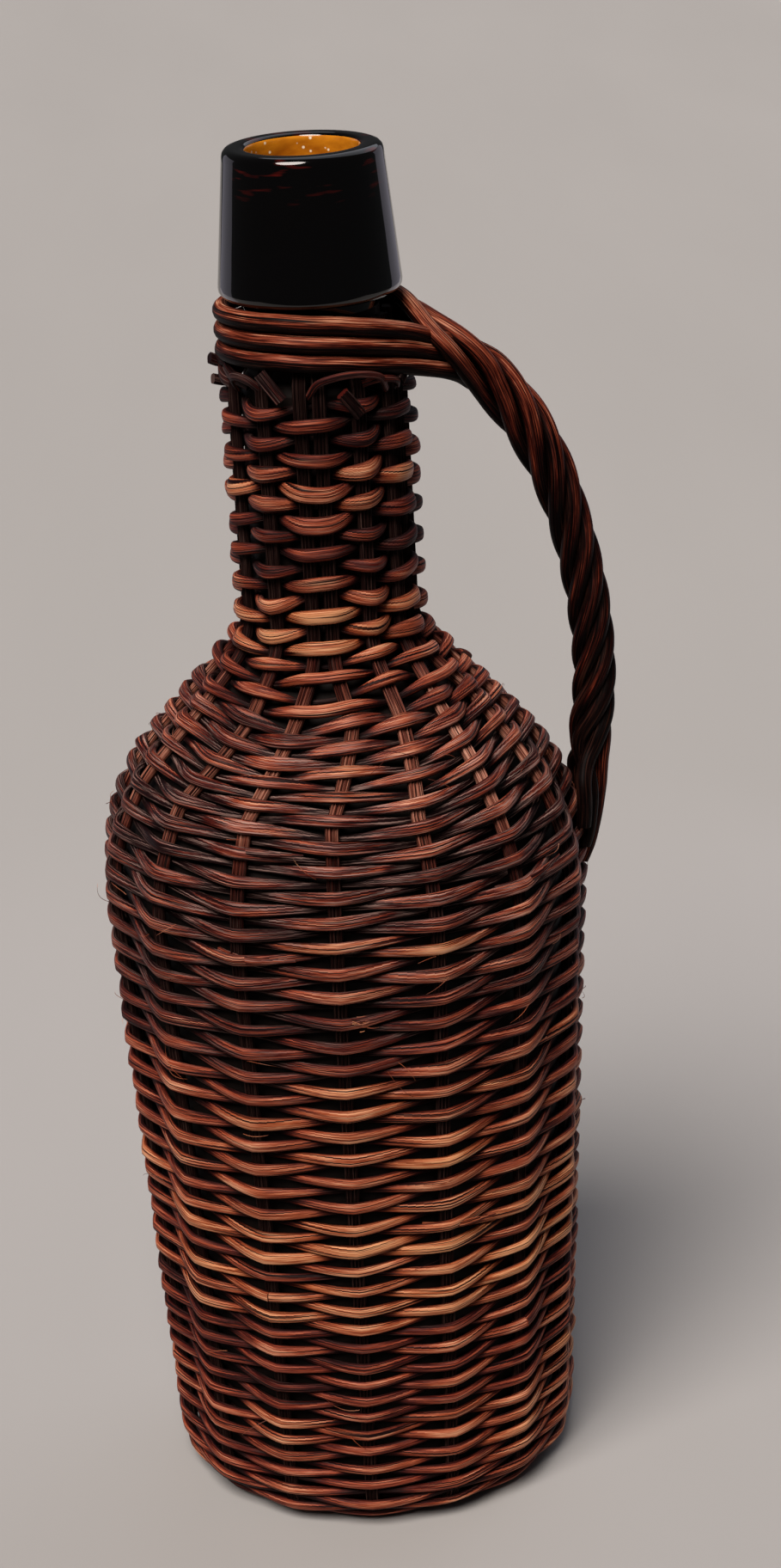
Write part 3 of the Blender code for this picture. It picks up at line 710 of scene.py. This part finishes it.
def make_bottle():
    """The bottle is turned: a disc under the punt is drawn out, station by station, up and back inside."""
    outline = bottle_outline()
    bpy.ops.mesh.primitive_circle_add(vertices=glass_sides, radius=outline[0][0], fill_type="TRIFAN",
                                      location=(0.0, 0.0, outline[0][1]))
    item = bpy.context.object
    item.name = "bottle"
    bpy.ops.object.transform_apply()
    bpy.ops.object.mode_set(mode="EDIT")
    bpy.ops.mesh.select_all(action="DESELECT")
    bm = bmesh.from_edit_mesh(item.data)
    for edge in bm.edges:
        edge.select_set(edge.is_boundary)
    bmesh.update_edit_mesh(item.data)
    for (r0, z0), (r1, z1) in zip(outline, outline[1:]):
        bpy.ops.mesh.extrude_region_move(TRANSFORM_OT_translate={"value": (0.0, 0.0, z1 - z0)})
        bpy.ops.transform.resize(value=(r1 / r0, r1 / r0, 1.0), center_override=(0.0, 0.0, z1))
    bpy.ops.mesh.edge_face_add()
    bpy.ops.mesh.poke()
    bpy.ops.mesh.select_all(action="SELECT")
    bpy.ops.mesh.normals_make_consistent(inside=False)
    bpy.ops.object.mode_set(mode="OBJECT")
    bpy.ops.object.shade_smooth_by_angle(angle=radians(glass_sharp_degrees))
    for finish in (glass, lit_amber, covered_glass):
        item.data.materials.append(finish)
    # Painted light in the mouth, painted shade on the glass under the jacket
    for face in item.data.polygons:
        centre = face.center
        inside = hypot(centre.x, centre.y) < mouth_radius + 0.25 * mouth_round
        if inside and centre.z > total_height - 2 * lit_depth:
            face.material_index = 1
        elif centre.z < collar_bottom - binding_radius:
            face.material_index = 2
    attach(item, "root")
    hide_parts("glass_bottle")


make_bottle()


# Woven jacket

def oval_section(sides, blunt):
    """Section of a split cane: an oval, blunter than an ellipse."""
    at = 2 * pi * np.arange(sides) / sides + pi / sides
    section = np.stack([np.cos(at), np.sin(at)], axis=1)
    return np.sign(section) * np.abs(section) ** blunt


def ribbed_section(ribs=4):
    """Section of a stake: flat towards the bottle, with ribs side by side outside."""
    points = [(-1.0, -0.2), (-0.75, -0.9), (0.0, -1.0), (0.75, -0.9), (1.0, -0.2)]
    for rib in range(ribs):
        middle = 1.0 - (rib + 0.5) * 2 / ribs
        half = 1.0 / ribs
        points += [(middle + half * 0.6, 0.80), (middle, 1.0), (middle - half * 0.6, 0.80)]
        if rib < ribs - 1:
            points.append((middle - half, 0.35))
    return np.array(points)


def wander(angle, distance):
    """How far the rows rise at the sides and stray up or down, together with their neighbours."""
    waves = sum(size * np.sin(times * angle + distance / run + phase)
                for size, times, run, phase in stray_waves)
    loose = np.interp(distance, stray_reaches, stray_shares)
    rise = np.interp(distance, rise_reaches, [0.0, row_rise, row_rise, 0.0])
    return loose * mm * waves + rise * np.sin(angle - radians(front_degrees)) ** 4


def body_crossings():
    """Where the spiral passes each stake of the body: distance up the jacket, angle, half-width, side."""
    distance, crossings, number = base_weave_radius, [], 0
    while True:
        crossings.append((distance, float(stake_angle(number, distance)), 0.0, 1 if number % 2 else -1))
        if distance >= weave_end and number % stake_count == 0:
            return np.array(crossings)
        distance += float(keyed(weave_route.at(distance)[1], row_pitches)) * mm / stake_count
        number += 1


def neck_crossings(start):
    """The same on the neck, where a group of one or two stakes is passed at once."""
    top = weave_route.reach(neck_row_top)
    distance, crossings, number = start[0], [], 0
    while distance < top:
        members = group_members[number % group_count]
        angles = [float(stake_angle(member, distance)) for member in members]
        turns = number // group_count * 2 * pi
        half = (angles[-1] - angles[0]) / 2
        crossings.append((distance, turns + np.mean(angles), half, -start[3] if number % 2 else start[3]))
        distance += neck_row_pitch / group_count
        number += 1
    return np.array(crossings)


def patches_and_side_shade(angle, height):
    """Lighter and darker parts of the jacket: low down in slanting bands; in between, painted shade at both
    sides; higher up, side to side.
    """
    low = keyed(height, {80: 1.0, 105: 0.0})
    high = keyed(height, {205: 0.0, 225: 1.0})
    # Painted shade: the square of the sine darkens the jacket's left and right sides
    middle = 0.06 * np.sin(angle + 1.62) - 0.13 * np.sin(angle + 1.62) ** 2 + 0.03
    return (0.09 * low * np.sin(angle + height / patch_slant + 0.7) + (1 - low) * (1 - high) * middle
            + 0.15 * high * np.cos(angle + 1.97))


class Canes:
    """What each crossing of a spiral has of its own: the cane's size, seat, stain (with painted side shade in
    it) and fray.
    """

    def __init__(self, crossings, heights, wides, thick, lift, stains, frays, seed, mixed_batch=0.10):
        source = np.random.default_rng(seed)
        count = len(crossings)
        self.crossings = crossings
        self.stain, self.number, self.size = np.zeros(count), np.zeros(count), np.ones(count)
        start = 0
        while start < count:
            self.stain[start:] = source.normal(0.0, mixed_batch)
            self.number[start:] = source.random()
            self.size[start:] = source.normal(1.0, 0.08)
            start += int(source.integers(*batch_crossings))
            start += start < count and crossings[start, 3] > 0
        single = source.normal(0.0, 1.0, count) * (0.06 + 0.06 * frays)
        # The patches add painted shade at the jacket's sides to the stain
        self.stain += stains + patches_and_side_shade(crossings[:, 1], heights) + single
        self.fray = frays * source.uniform(0.55, 1.0, count)
        self.wide = wides * self.size * (1 + source.normal(0.0, 0.05, count))
        self.thick = thick * (1 + source.normal(0.0, 0.04, count))
        self.flat = keyed(heights, foot_lifts)
        self.lift = self.flat * (lift + np.clip(source.normal(0.0, 0.12, count), -0.25, 0.25) * mm)
        self.seat = source.normal(0.0, 0.20, count) * mm
        self.tilt = source.normal(0.0, 0.13, count)


def woven_strand(canes, first, last, section, segments, straight, sink):
    """The spiral from one crossing to another, over and under and bent round each stake."""
    distance, centre, half, side = canes.crossings.T
    place = np.arange((last - first) * segments + 1) / segments
    here = np.minimum(first + place.astype(int), last - 1)
    after = here + 1
    share = place - (here - first)
    eased = share * share * (3 - 2 * share)

    def spread(values, by=share):
        return values[here] * (1 - by) + values[after] * by

    span = centre[after] - centre[here]
    angle = centre[here] + share * span
    between = np.clip((share * span - half[here]) / (span - half[here] - half[after]), 0.0, 1.0)
    swing = side[here] * ((1 - straight) * np.cos(pi * between) + straight * (1 - 2 * between))
    sag = sink * canes.flat[here] ** 2 * (1 - np.cos(span / 2))
    bend = 1 - sag * (0.3 * 4 * share * (1 - share) + 0.7 * (1 - np.cos(2 * pi * share)) / 2)
    along = spread(distance) + spread(canes.seat, eased)
    along = along + wander(angle, along)
    settled = (1 - spread(canes.flat)) * foot_settle
    points, outs = jacket_points(weave_route, along, angle, settled + swing * spread(canes.lift, eased))
    points[:, :2] *= bend[:, None]
    outs = outs + np.cross(unit(np.gradient(points, axis=0)), outs) * spread(canes.tilt, eased)[:, None]
    wide = spread(canes.wide) * (0.73 + 0.27 * swing)
    points, faces, uvs = sweep(points, outs, wide, spread(canes.thick), section)
    # Painted light and shade: darker where the cane passes behind a stake and on its inner side, lightest on
    # its crest in front
    painted_light_in_front = np.clip((swing + 1.0) / 0.9, 0.0, 1.0)
    painted_light_outside = 0.68 + 0.32 * np.clip(section[None, :, 1] * 1.4, -1.0, 1.0)
    painted_light = (painted_light_in_front * (0.82 + 0.18 * swing))[:, None] * painted_light_outside
    own = np.stack([spread(canes.stain), spread(canes.fray), canes.number[here]], axis=1)
    own = np.repeat(own, len(section), axis=0)
    return points, faces, uvs, np.concatenate([own, painted_light.reshape(-1, 1)], axis=1)


def plain_cane(points, outs, wides, thicks, section, stain, fray=0.2, painted_light=0.8):
    """A loose or cut cane with one stain and one share of painted light all along; its sizes may be one
    number each.
    """
    count = len(points)
    sizes = np.broadcast_to(wides, count), np.broadcast_to(thicks, count)
    points, faces, uvs = sweep(np.asarray(points), np.asarray(outs), *sizes, section)
    return points, faces, uvs, np.tile([stain, fray, chance.random(), painted_light], (len(points), 1))


def spliced_end(canes, number, section):
    """The cut end of a length of cane, come out beside its row."""
    distance, centre, _, _ = canes.crossings[number]
    reach = canes.crossings[number + 1][1] - centre
    share = np.linspace(-0.25, chance.uniform(0.45, 0.75), 9)
    along = distance + (0.5 + 0.9 * share) * mm * chance.choice([-1.0, 1.0])
    seat = canes.lift[number]
    lift = np.interp(share, [-0.25, 0.1, 1.0], [-splice_dip, seat, seat + splice_rise])
    angle = centre + share * reach
    points, outs = jacket_points(weave_route, along + wander(angle, along), angle, lift)
    size = np.interp(share, [-0.25, 0.2, share[-1]], [0.6, 0.62, 0.2])
    return plain_cane(points, outs, canes.wide[number] * size, canes.thick[number] * size, section,
                      canes.stain[number], canes.fray[number])


def hair(start, out, heading, length, curl, thick=0.14, stain=0.6):
    """A fibre that has worked loose: it leaves the cane, bends over and comes back towards it."""
    steps = 9
    share = np.linspace(0.0, 1.0, steps)
    sideways = np.cross(out, heading)
    points = (start + heading * (share * length)[:, None]
              + out * (np.sin(share * pi * 0.85) * length * 0.16)[:, None]
              + sideways * (share ** 2 * curl * length)[:, None])
    size = np.interp(share, [0.0, 0.7, 1.0], [thick * mm, 0.85 * thick * mm, 0.4 * thick * mm])
    return plain_cane(points, np.tile(out, (steps, 1)), size, size, hair_section, stain, 0.5, 0.8)


cane_section = oval_section(12, 0.66)
neck_section = oval_section(14, 0.78)
hair_section = oval_section(4, 1.0)
stake_section = ribbed_section()

body = body_crossings()
body_heights = weave_route.at(body[:, 0])[1]
body_canes = Canes(
    body, body_heights, keyed(body_heights, row_widths) * mm, weaver_thick, lay_lift,
    keyed(body_heights, body_stains), keyed(body_heights, body_frays), 5)
neck = neck_crossings(body[-1])
neck_heights = weave_route.at(neck[:, 0])[1]
neck_canes = Canes(
    neck, neck_heights, neck_row_wide, neck_weaver_thick, neck_lift,
    keyed(neck_heights, neck_stains), np.full(len(neck), neck_fray), 9, 0.04)


def band_edges(nodes):
    """Crossings where one solid's band of rows ends and the next starts."""
    edges = [0]
    for name in nodes[:-1]:
        above = body_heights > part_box(name)[1][2] - weaver_thick
        edges.append(int(np.argmax(above & (np.arange(len(body)) > edges[-1] + stake_count))))
    return edges + [len(body) - 1]


def make_weave():
    nodes = ["base_weaver"] + [f"body_weaver_{number:02d}" for number in range(1, 12)]
    edges = band_edges(nodes)
    for name, first, last in zip(nodes, edges, edges[1:]):
        parts = [woven_strand(body_canes, first, last, cane_section, segments=12, straight=0.55, sink=0.6)]
        outside = [number for number in range(first + 1, last - 1) if body[number][3] > 0]
        number = int(chance.choice(outside, 1, replace=False)[0])
        if body_heights[number] > lowest_splice:
            parts.append(spliced_end(body_canes, number, cane_section))
        show("woven_" + name, parts, weaver_cane, name)
    last = len(neck) - 1
    for number in range(1, 5):
        ends = last * (number - 1) // 4, last * number // 4
        part = woven_strand(neck_canes, *ends, neck_section, segments=14, straight=0.35, sink=0.3)
        show(f"woven_neck_{number}", [part], weaver_cane, f"neck_weaver_{number}")


def make_stakes():
    """Stakes from the base cross to the binding: pale on the shoulder, darker below and on the neck by
    painted shade where they lie back in the gaps.
    """
    distance = np.arange(stake_start_radius, stake_route.run[-1], stake_step)
    for number in range(stake_count):
        points, outs = jacket_points(stake_route, distance, stake_angle(number, distance), 0.0)
        wide = stake_wide * (1 + chance.normal(0.0, 0.03))
        part = plain_cane(points, outs, wide, stake_thick, stake_section, 0.5)
        # Stain darkened by painted shade where the stakes lie back in the gaps, and painted light by height,
        # strongest on the shoulder
        stain, painted_light = keyed(points[:, 2], stake_stains), keyed(points[:, 2], stake_painted_light)
        part[3][:, 0] = np.repeat(stain, len(stake_section)) + chance.normal(0.0, 0.05)
        part[3][:, 3] = np.repeat(painted_light, len(stake_section))
        node = f"stake_{number + 1:02d}"
        show("ribbed_" + node, [part], stake_cane, node)


def around_neck(degrees, radius, height):
    """A point by its angle from the photographed side, positive to the right."""
    return polar(radians(degrees + front_degrees), radius, height)


def make_neck_ends():
    """What sticks out above the last row: cut stake ends, a thin cane in a loop, and curls at the left."""
    parts = []
    for degrees, height, lean, length in cut_ends:
        points = [around_neck(degrees + share * lean, cut_end_radius + cut_end_flare * share,
                              height * mm + share * length * mm) for share in np.linspace(-0.5, 0.5, 6)]
        outs = [around_neck(degrees, 1.0, 0.0)] * len(points)
        parts.append(plain_cane(points, outs, cut_end_wide, cut_end_thick, stake_section, 0.20, painted_light=0.55))
    for wide, stain, keys in loose_canes:
        keys = np.array([around_neck(degrees, r * mm, z * mm) for degrees, r, z in keys])
        spans = len(keys) - 1
        points = np.array([catmull(keys, step / spans) for step in np.linspace(0.0, spans, 8 * spans + 1)])
        outs = unit(points * [1.0, 1.0, 0.0])
        wide = wide * mm
        parts.append(plain_cane(points, outs, wide, wide * 0.7, cane_section, stain - 0.06, painted_light=0.7))
    show("neck_top_ends", parts, weaver_cane)


def make_hairs():
    """Loose fibres all over the jacket, and a tuft of them at its left edge."""
    parts = []
    for _ in range(hair_count):
        at = radians(chance.uniform(-180, 180))
        distance = chance.choice([chance.uniform(weave_route.reach(low), weave_end) for low in hair_lows])
        start, out = jacket_points(weave_route, distance, at, lay_lift)
        level = np.array([-sin(at), cos(at), 0.0]) * chance.choice([-1.0, 1.0])
        heading = level + np.cross(out, level) * chance.normal(0.0, 0.5)
        heading = heading / np.linalg.norm(heading)
        parts.append(hair(start, out, heading, chance.uniform(*hair_lengths) * mm, chance.normal(0.0, 0.25)))
    beside = np.cos(body[:, 1] - radians(tuft_degrees)) > 0.99
    splice = body[int(np.argmax((body[:, 3] > 0) & beside & (body_heights > tuft_height)))]
    for _ in range(tuft_count):
        distance = splice[0] + chance.normal(0.0, 0.7) * mm
        angle = splice[1] + radians(chance.uniform(2, 6))
        along = distance + wander(angle, distance)
        start, out = jacket_points(weave_route, along, angle, lay_lift + tuft_lift)
        level = np.array([-sin(angle), cos(angle), 0.0])
        heading = level + np.cross(out, level) * chance.normal(0.0, 0.12)
        length = chance.uniform(*tuft_lengths) * mm
        parts.append(hair(start, out, heading, length, chance.normal(0.0, 0.12), 0.17, 0.62))
    show("loose_fibres", parts, weaver_cane)


make_weave()
make_stakes()
make_neck_ends()
make_hairs()


def make_base_cross():
    """Flat sticks of the base: sawn blanks with their edges eased."""
    for number in range(1, 7):
        node = f"base_stick_{number}"
        low, high = (Vector(corner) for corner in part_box(node))
        bpy.ops.mesh.primitive_cube_add(size=1.0, location=(low + high) / 2)
        item = bpy.context.object
        item.name = f"split_{node}"
        item.scale = high - low
        bpy.ops.object.transform_apply()
        bpy.ops.object.mode_set(mode="EDIT")
        bpy.ops.mesh.select_all(action="SELECT")
        bpy.ops.mesh.subdivide(number_cuts=2)
        bpy.ops.object.mode_set(mode="OBJECT")
        bevel = item.modifiers.new("eased", "BEVEL")
        bevel.width = stick_edge
        bevel.segments = 3
        bpy.ops.object.modifier_apply(modifier="eased")
        bpy.ops.object.shade_smooth_by_angle(angle=radians(stick_sharp_degrees))
        item.data.materials.append(base_wood)
        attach(item, "root")
        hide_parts(node)


make_base_cross()


# Binding and handle

def lay_turn(share):
    """Angle that the strands have turned: the lay shortens from the root to the foot."""
    tightening = lay_long / lay_short - 1
    whole_turn = (twist_shift_count + head_shift_share) * 2 * pi / strand_count
    return whole_turn * share * (1 + tightening * share / 2) / (1 + tightening / 2)


def lay_radius(share):
    """How far from the centre line the strands are laid: wider at the head."""
    return strand_lay * (1 + head_lay_share * np.interp(share, head_lay_reach, [1.0, 0.0]))


def handle_axis(steps):
    """Centre line of the twist: its points, directions and shares of its length."""
    rise = handle_root_height - handle_foot_height
    jacket = float(stake_route.at(stake_route.reach(handle_foot_height))[0]) + jacket_thick - jacket_line
    foot = jacket + handle_foot_gap
    keys = np.array([(foot + (handle_root_radius - foot) * z + bow * handle_bow, 0.0,
                      handle_foot_height + z * rise) for bow, z in handle_route_shares])
    dense = np.array([catmull(keys, i / 400) for i in range(401)])
    share = np.linspace(0.0, 1.0, steps + 1)
    line = at_distances(dense, share * run_along(dense)[-1])
    return line, unit(np.gradient(line, axis=0)), share


def tail_points(strand, start):
    """The strand's lower end, laid over the jacket beside the others and tucked under the rows."""
    place = (strand - twist_shift_count) % strand_count
    beside = (0, 2, 1, -1, -2)[place]
    early = tail_stagger * abs(beside)
    made = []
    for share in np.linspace(0.05, 1.0, 26):
        height = tail_top + (tail_end + early - tail_top) * share
        reached = weave_route.reach(height)
        gap = float(keyed(height - early * share, tail_gaps)) * mm * (1.0 - 0.25 * abs(beside))
        fan = beside * fan_pitch / float(weave_route.at(reached)[0]) * min(1.0, share * 1.8)
        seat, _ = jacket_points(weave_route, reached, fan, jacket_thick - jacket_line + gap)
        settle = min(1.0, share * 1.7)
        settle = settle * settle * (3 - 2 * settle)
        drop = np.array([0.0, 0.0, (height - start[2]) * (1 - settle)])
        made.append(start + (seat - start) * settle + drop)
    return made


twist_line, twist_turn, twist_share = handle_axis(120)


def strand_points(strand):
    """Points of one strand down the twist and over the jacket."""
    back = np.array([0.0, 1.0, 0.0])
    points = []
    for point, direction, share in zip(twist_line, twist_turn, twist_share):
        angle = (strand + head_shift_share) * 2 * pi / strand_count - lay_turn(share)
        across = np.array([-direction[2], 0.0, direction[0]])
        points.append(point + lay_radius(share) * (cos(angle) * across + sin(angle) * back))
    return np.array(points + tail_points(strand, points[-1]))


def loop_points(loop):
    """One loop of the binding: round the neck from the front over the left to the back."""
    leave = acos(binding_ring / handle_root_radius)
    degrees = np.linspace(90.0 - np.degrees(leave), np.degrees(leave) - 270.0, 90)
    at = np.radians(degrees - 90.0)
    height = binding_top - loop * binding_pitch + np.interp(degrees, lean_angles, lean_heights)
    return polar(at, binding_ring, height)


def cane_end(loop, side, leaving):
    """From the binding to the twist and down it, or the spare end cut off behind."""
    strand, join, way = leads[loop, side]
    keys = np.array([leaving] + [np.array(key) * mm for key in way])
    points = np.array([catmull(keys, share) for share in np.linspace(0.02, 1.0, 14 * len(keys))])
    if strand is None:
        return points
    return np.concatenate([points, strand_points(strand)[int(np.argmax(twist_share > join)):]])


def eased_way(points, reach):
    """A route in even steps with its corners drawn smooth."""
    step = 0.5 * mm
    points = at_distances(points, np.arange(0.0, run_along(points)[-1], step))
    width = int(3 * reach / step)
    weights = np.exp(-0.5 * (np.arange(-width, width + 1) * step / reach) ** 2)
    weights /= weights.sum()
    before = 2 * points[0] - points[width:0:-1]
    after = 2 * points[-1] - points[-2:-width - 2:-1]
    padded = np.concatenate([before, points, after])
    return np.stack([np.convolve(padded[:, k], weights, "valid") for k in range(3)], axis=1)[::2]


def steady_outs(points):
    """Outward directions that turn as little as possible along a route."""
    along = unit(np.gradient(points, axis=0))
    out = np.cross(along[0], [0.0, 0.0, 1.0])
    outs = []
    for direction in along:
        out = out - direction * np.dot(out, direction)
        out = out / np.linalg.norm(out)
        outs.append(out)
    return np.array(outs)


def make_handle():
    """Three canes, each round the neck and with both ends in the twist, and a black core of painted shade
    along its middle.
    """
    section = oval_section(16, 0.95)
    for loop in range(loop_count):
        ring = loop_points(loop)
        front, back = cane_end(loop, -1, ring[0]), cane_end(loop, 1, ring[-1])
        centres = eased_way(np.concatenate([front[::-1], ring, back]), strand_ease)
        low = centres[:, 2]
        thinned = strand_radius * np.interp(low, [tail_end, tail_top], [0.75, 1.0])
        sizes = 2 * np.where(low > handle_foot_height, binding_radius, thinned)
        part = plain_cane(centres, steady_outs(centres), sizes, sizes, section, 0.5)
        points, tones = part[0], part[3]
        x, y, z = points.T
        out = (points - np.repeat(centres, len(section), axis=0)) / strand_radius
        # Painted light and shade: lighter on the side that faces up and to the front, darker down between the
        # strands of the twist and on the canes behind at the head
        over = 0.30 - 0.30 * out[:, 1] + 0.95 * out[:, 2]
        core = np.stack([np.hypot(*(points - stop)[:, ::2].T) for stop in twist_line[::3]]).min(axis=0)
        out_of_painted_twist_shade = keyed(np.hypot(core, y), {3.2: 0.0, 5.3: 1.0})
        twisted = keyed(x, {28: 0.0, 36: 1.0})
        tone = keyed(z, handle_stains)
        painted_shade_behind = keyed(y, {0: 0.0, 9: 0.3}) * (z > head_level)
        laid = keyed(z, {183: 1.0, 193: 0.0})
        edge = np.where(np.abs(y) < tail_middle, 0.44, -0.40)
        tones[:, 0] = (tone + 0.03 * (1 - loop) - painted_shade_behind) * (1 - laid) + laid * edge
        tones[:, 3] = np.clip((1 - twisted) * over + twisted * (0.5 * over + 0.5) * out_of_painted_twist_shade, 0.1, 0.95)
        name = f"cane_{loop + 1}"
        show("twisted_" + name, [part], handle_cane, "handle_" + name)
    # Painted shade: a black core that fills the gap between the strands, so that no light shows through the
    # twist
    inner = slice(4, -10)
    core_line = twist_line[inner]
    wide = 2 * (lay_radius(twist_share[inner]) - strand_radius)
    core = plain_cane(core_line, steady_outs(core_line), wide, wide, oval_section(8, 1.0), 0.0, painted_light=0.1)
    show("twist_core", [core], handle_cane)


make_handle()


# Floor, light and camera

def make_stage():
    """A board that ends a little in front of the bottle, so that its glass has the dark to reflect."""
    bpy.ops.mesh.primitive_plane_add(size=1.0)
    floor = bpy.context.object
    floor.scale = (floor_wide, floor_deep, 1.0)
    floor.location = (0.0, floor_deep / 2 + floor_front, -floor_drop)
    floor.name = "floor_board"
    floor.data.materials.append(painted_board)


def add_lamp(name, kind, power, colour, towards, place=(0.0, 0.0, 0.0)):
    """A lamp at a place, whose light comes from the side that is given."""
    lamp = bpy.data.lights.new(name, kind)
    lamp.energy = power
    lamp.color = linear(colour)
    item = add_object(name, lamp)
    item.location = place
    item.rotation_euler = Vector(towards).to_track_quat("Z", "Y").to_euler()
    return lamp


def make_lights():
    """Soft daylight from two sides, and a dim strip beside each edge of the glass for the line along it."""
    for name, (power, degrees, colour, towards) in skies.items():
        add_lamp(name, "SUN", power, colour, towards).angle = radians(degrees)
    x, y, z = strip_place
    for side in (-1, 1):
        strip = add_lamp("strip", "AREA", strip_power, "#e6dff0", (side * x, y, 0.0), (side * x, y, z))
        strip.shape = "RECTANGLE"
        strip.size, strip.size_y = strip_wide, strip_tall
    world = bpy.data.worlds.new("studio_air")
    world.use_nodes = True
    air = world.node_tree.nodes["Background"].inputs
    air["Color"].default_value = (*linear("#e9ebee"), 1.0)
    air["Strength"].default_value = air_strength
    bpy.context.scene.world = world


def make_camera():
    camera = bpy.data.cameras.new("photo_view")
    camera.sensor_fit = "VERTICAL"
    camera.sensor_height = sensor_tall
    camera.lens = focal_pixels * sensor_tall / frame_pixels
    item = add_object("photo_view", camera)
    forward = Vector((sin(view_yaw) * cos(view_pitch), cos(view_yaw) * cos(view_pitch), -sin(view_pitch)))
    right = Vector((cos(view_yaw), -sin(view_yaw), 0.0))
    up = right.cross(forward)
    turned_right = right * cos(view_roll) + up * sin(view_roll)
    turned_up = up * cos(view_roll) - right * sin(view_roll)
    place = Vector((0.0, -view_distance, view_height))
    turn = Matrix((turned_right, turned_up, -forward)).transposed().to_4x4()
    turn.translation = place
    item.matrix_world = Matrix.Rotation(radians(view_degrees), 4, "Z") @ turn
    bpy.context.scene.camera = item


make_stage()
make_lights()
make_camera()
bpy.context.scene.view_settings.view_transform = "Standard"
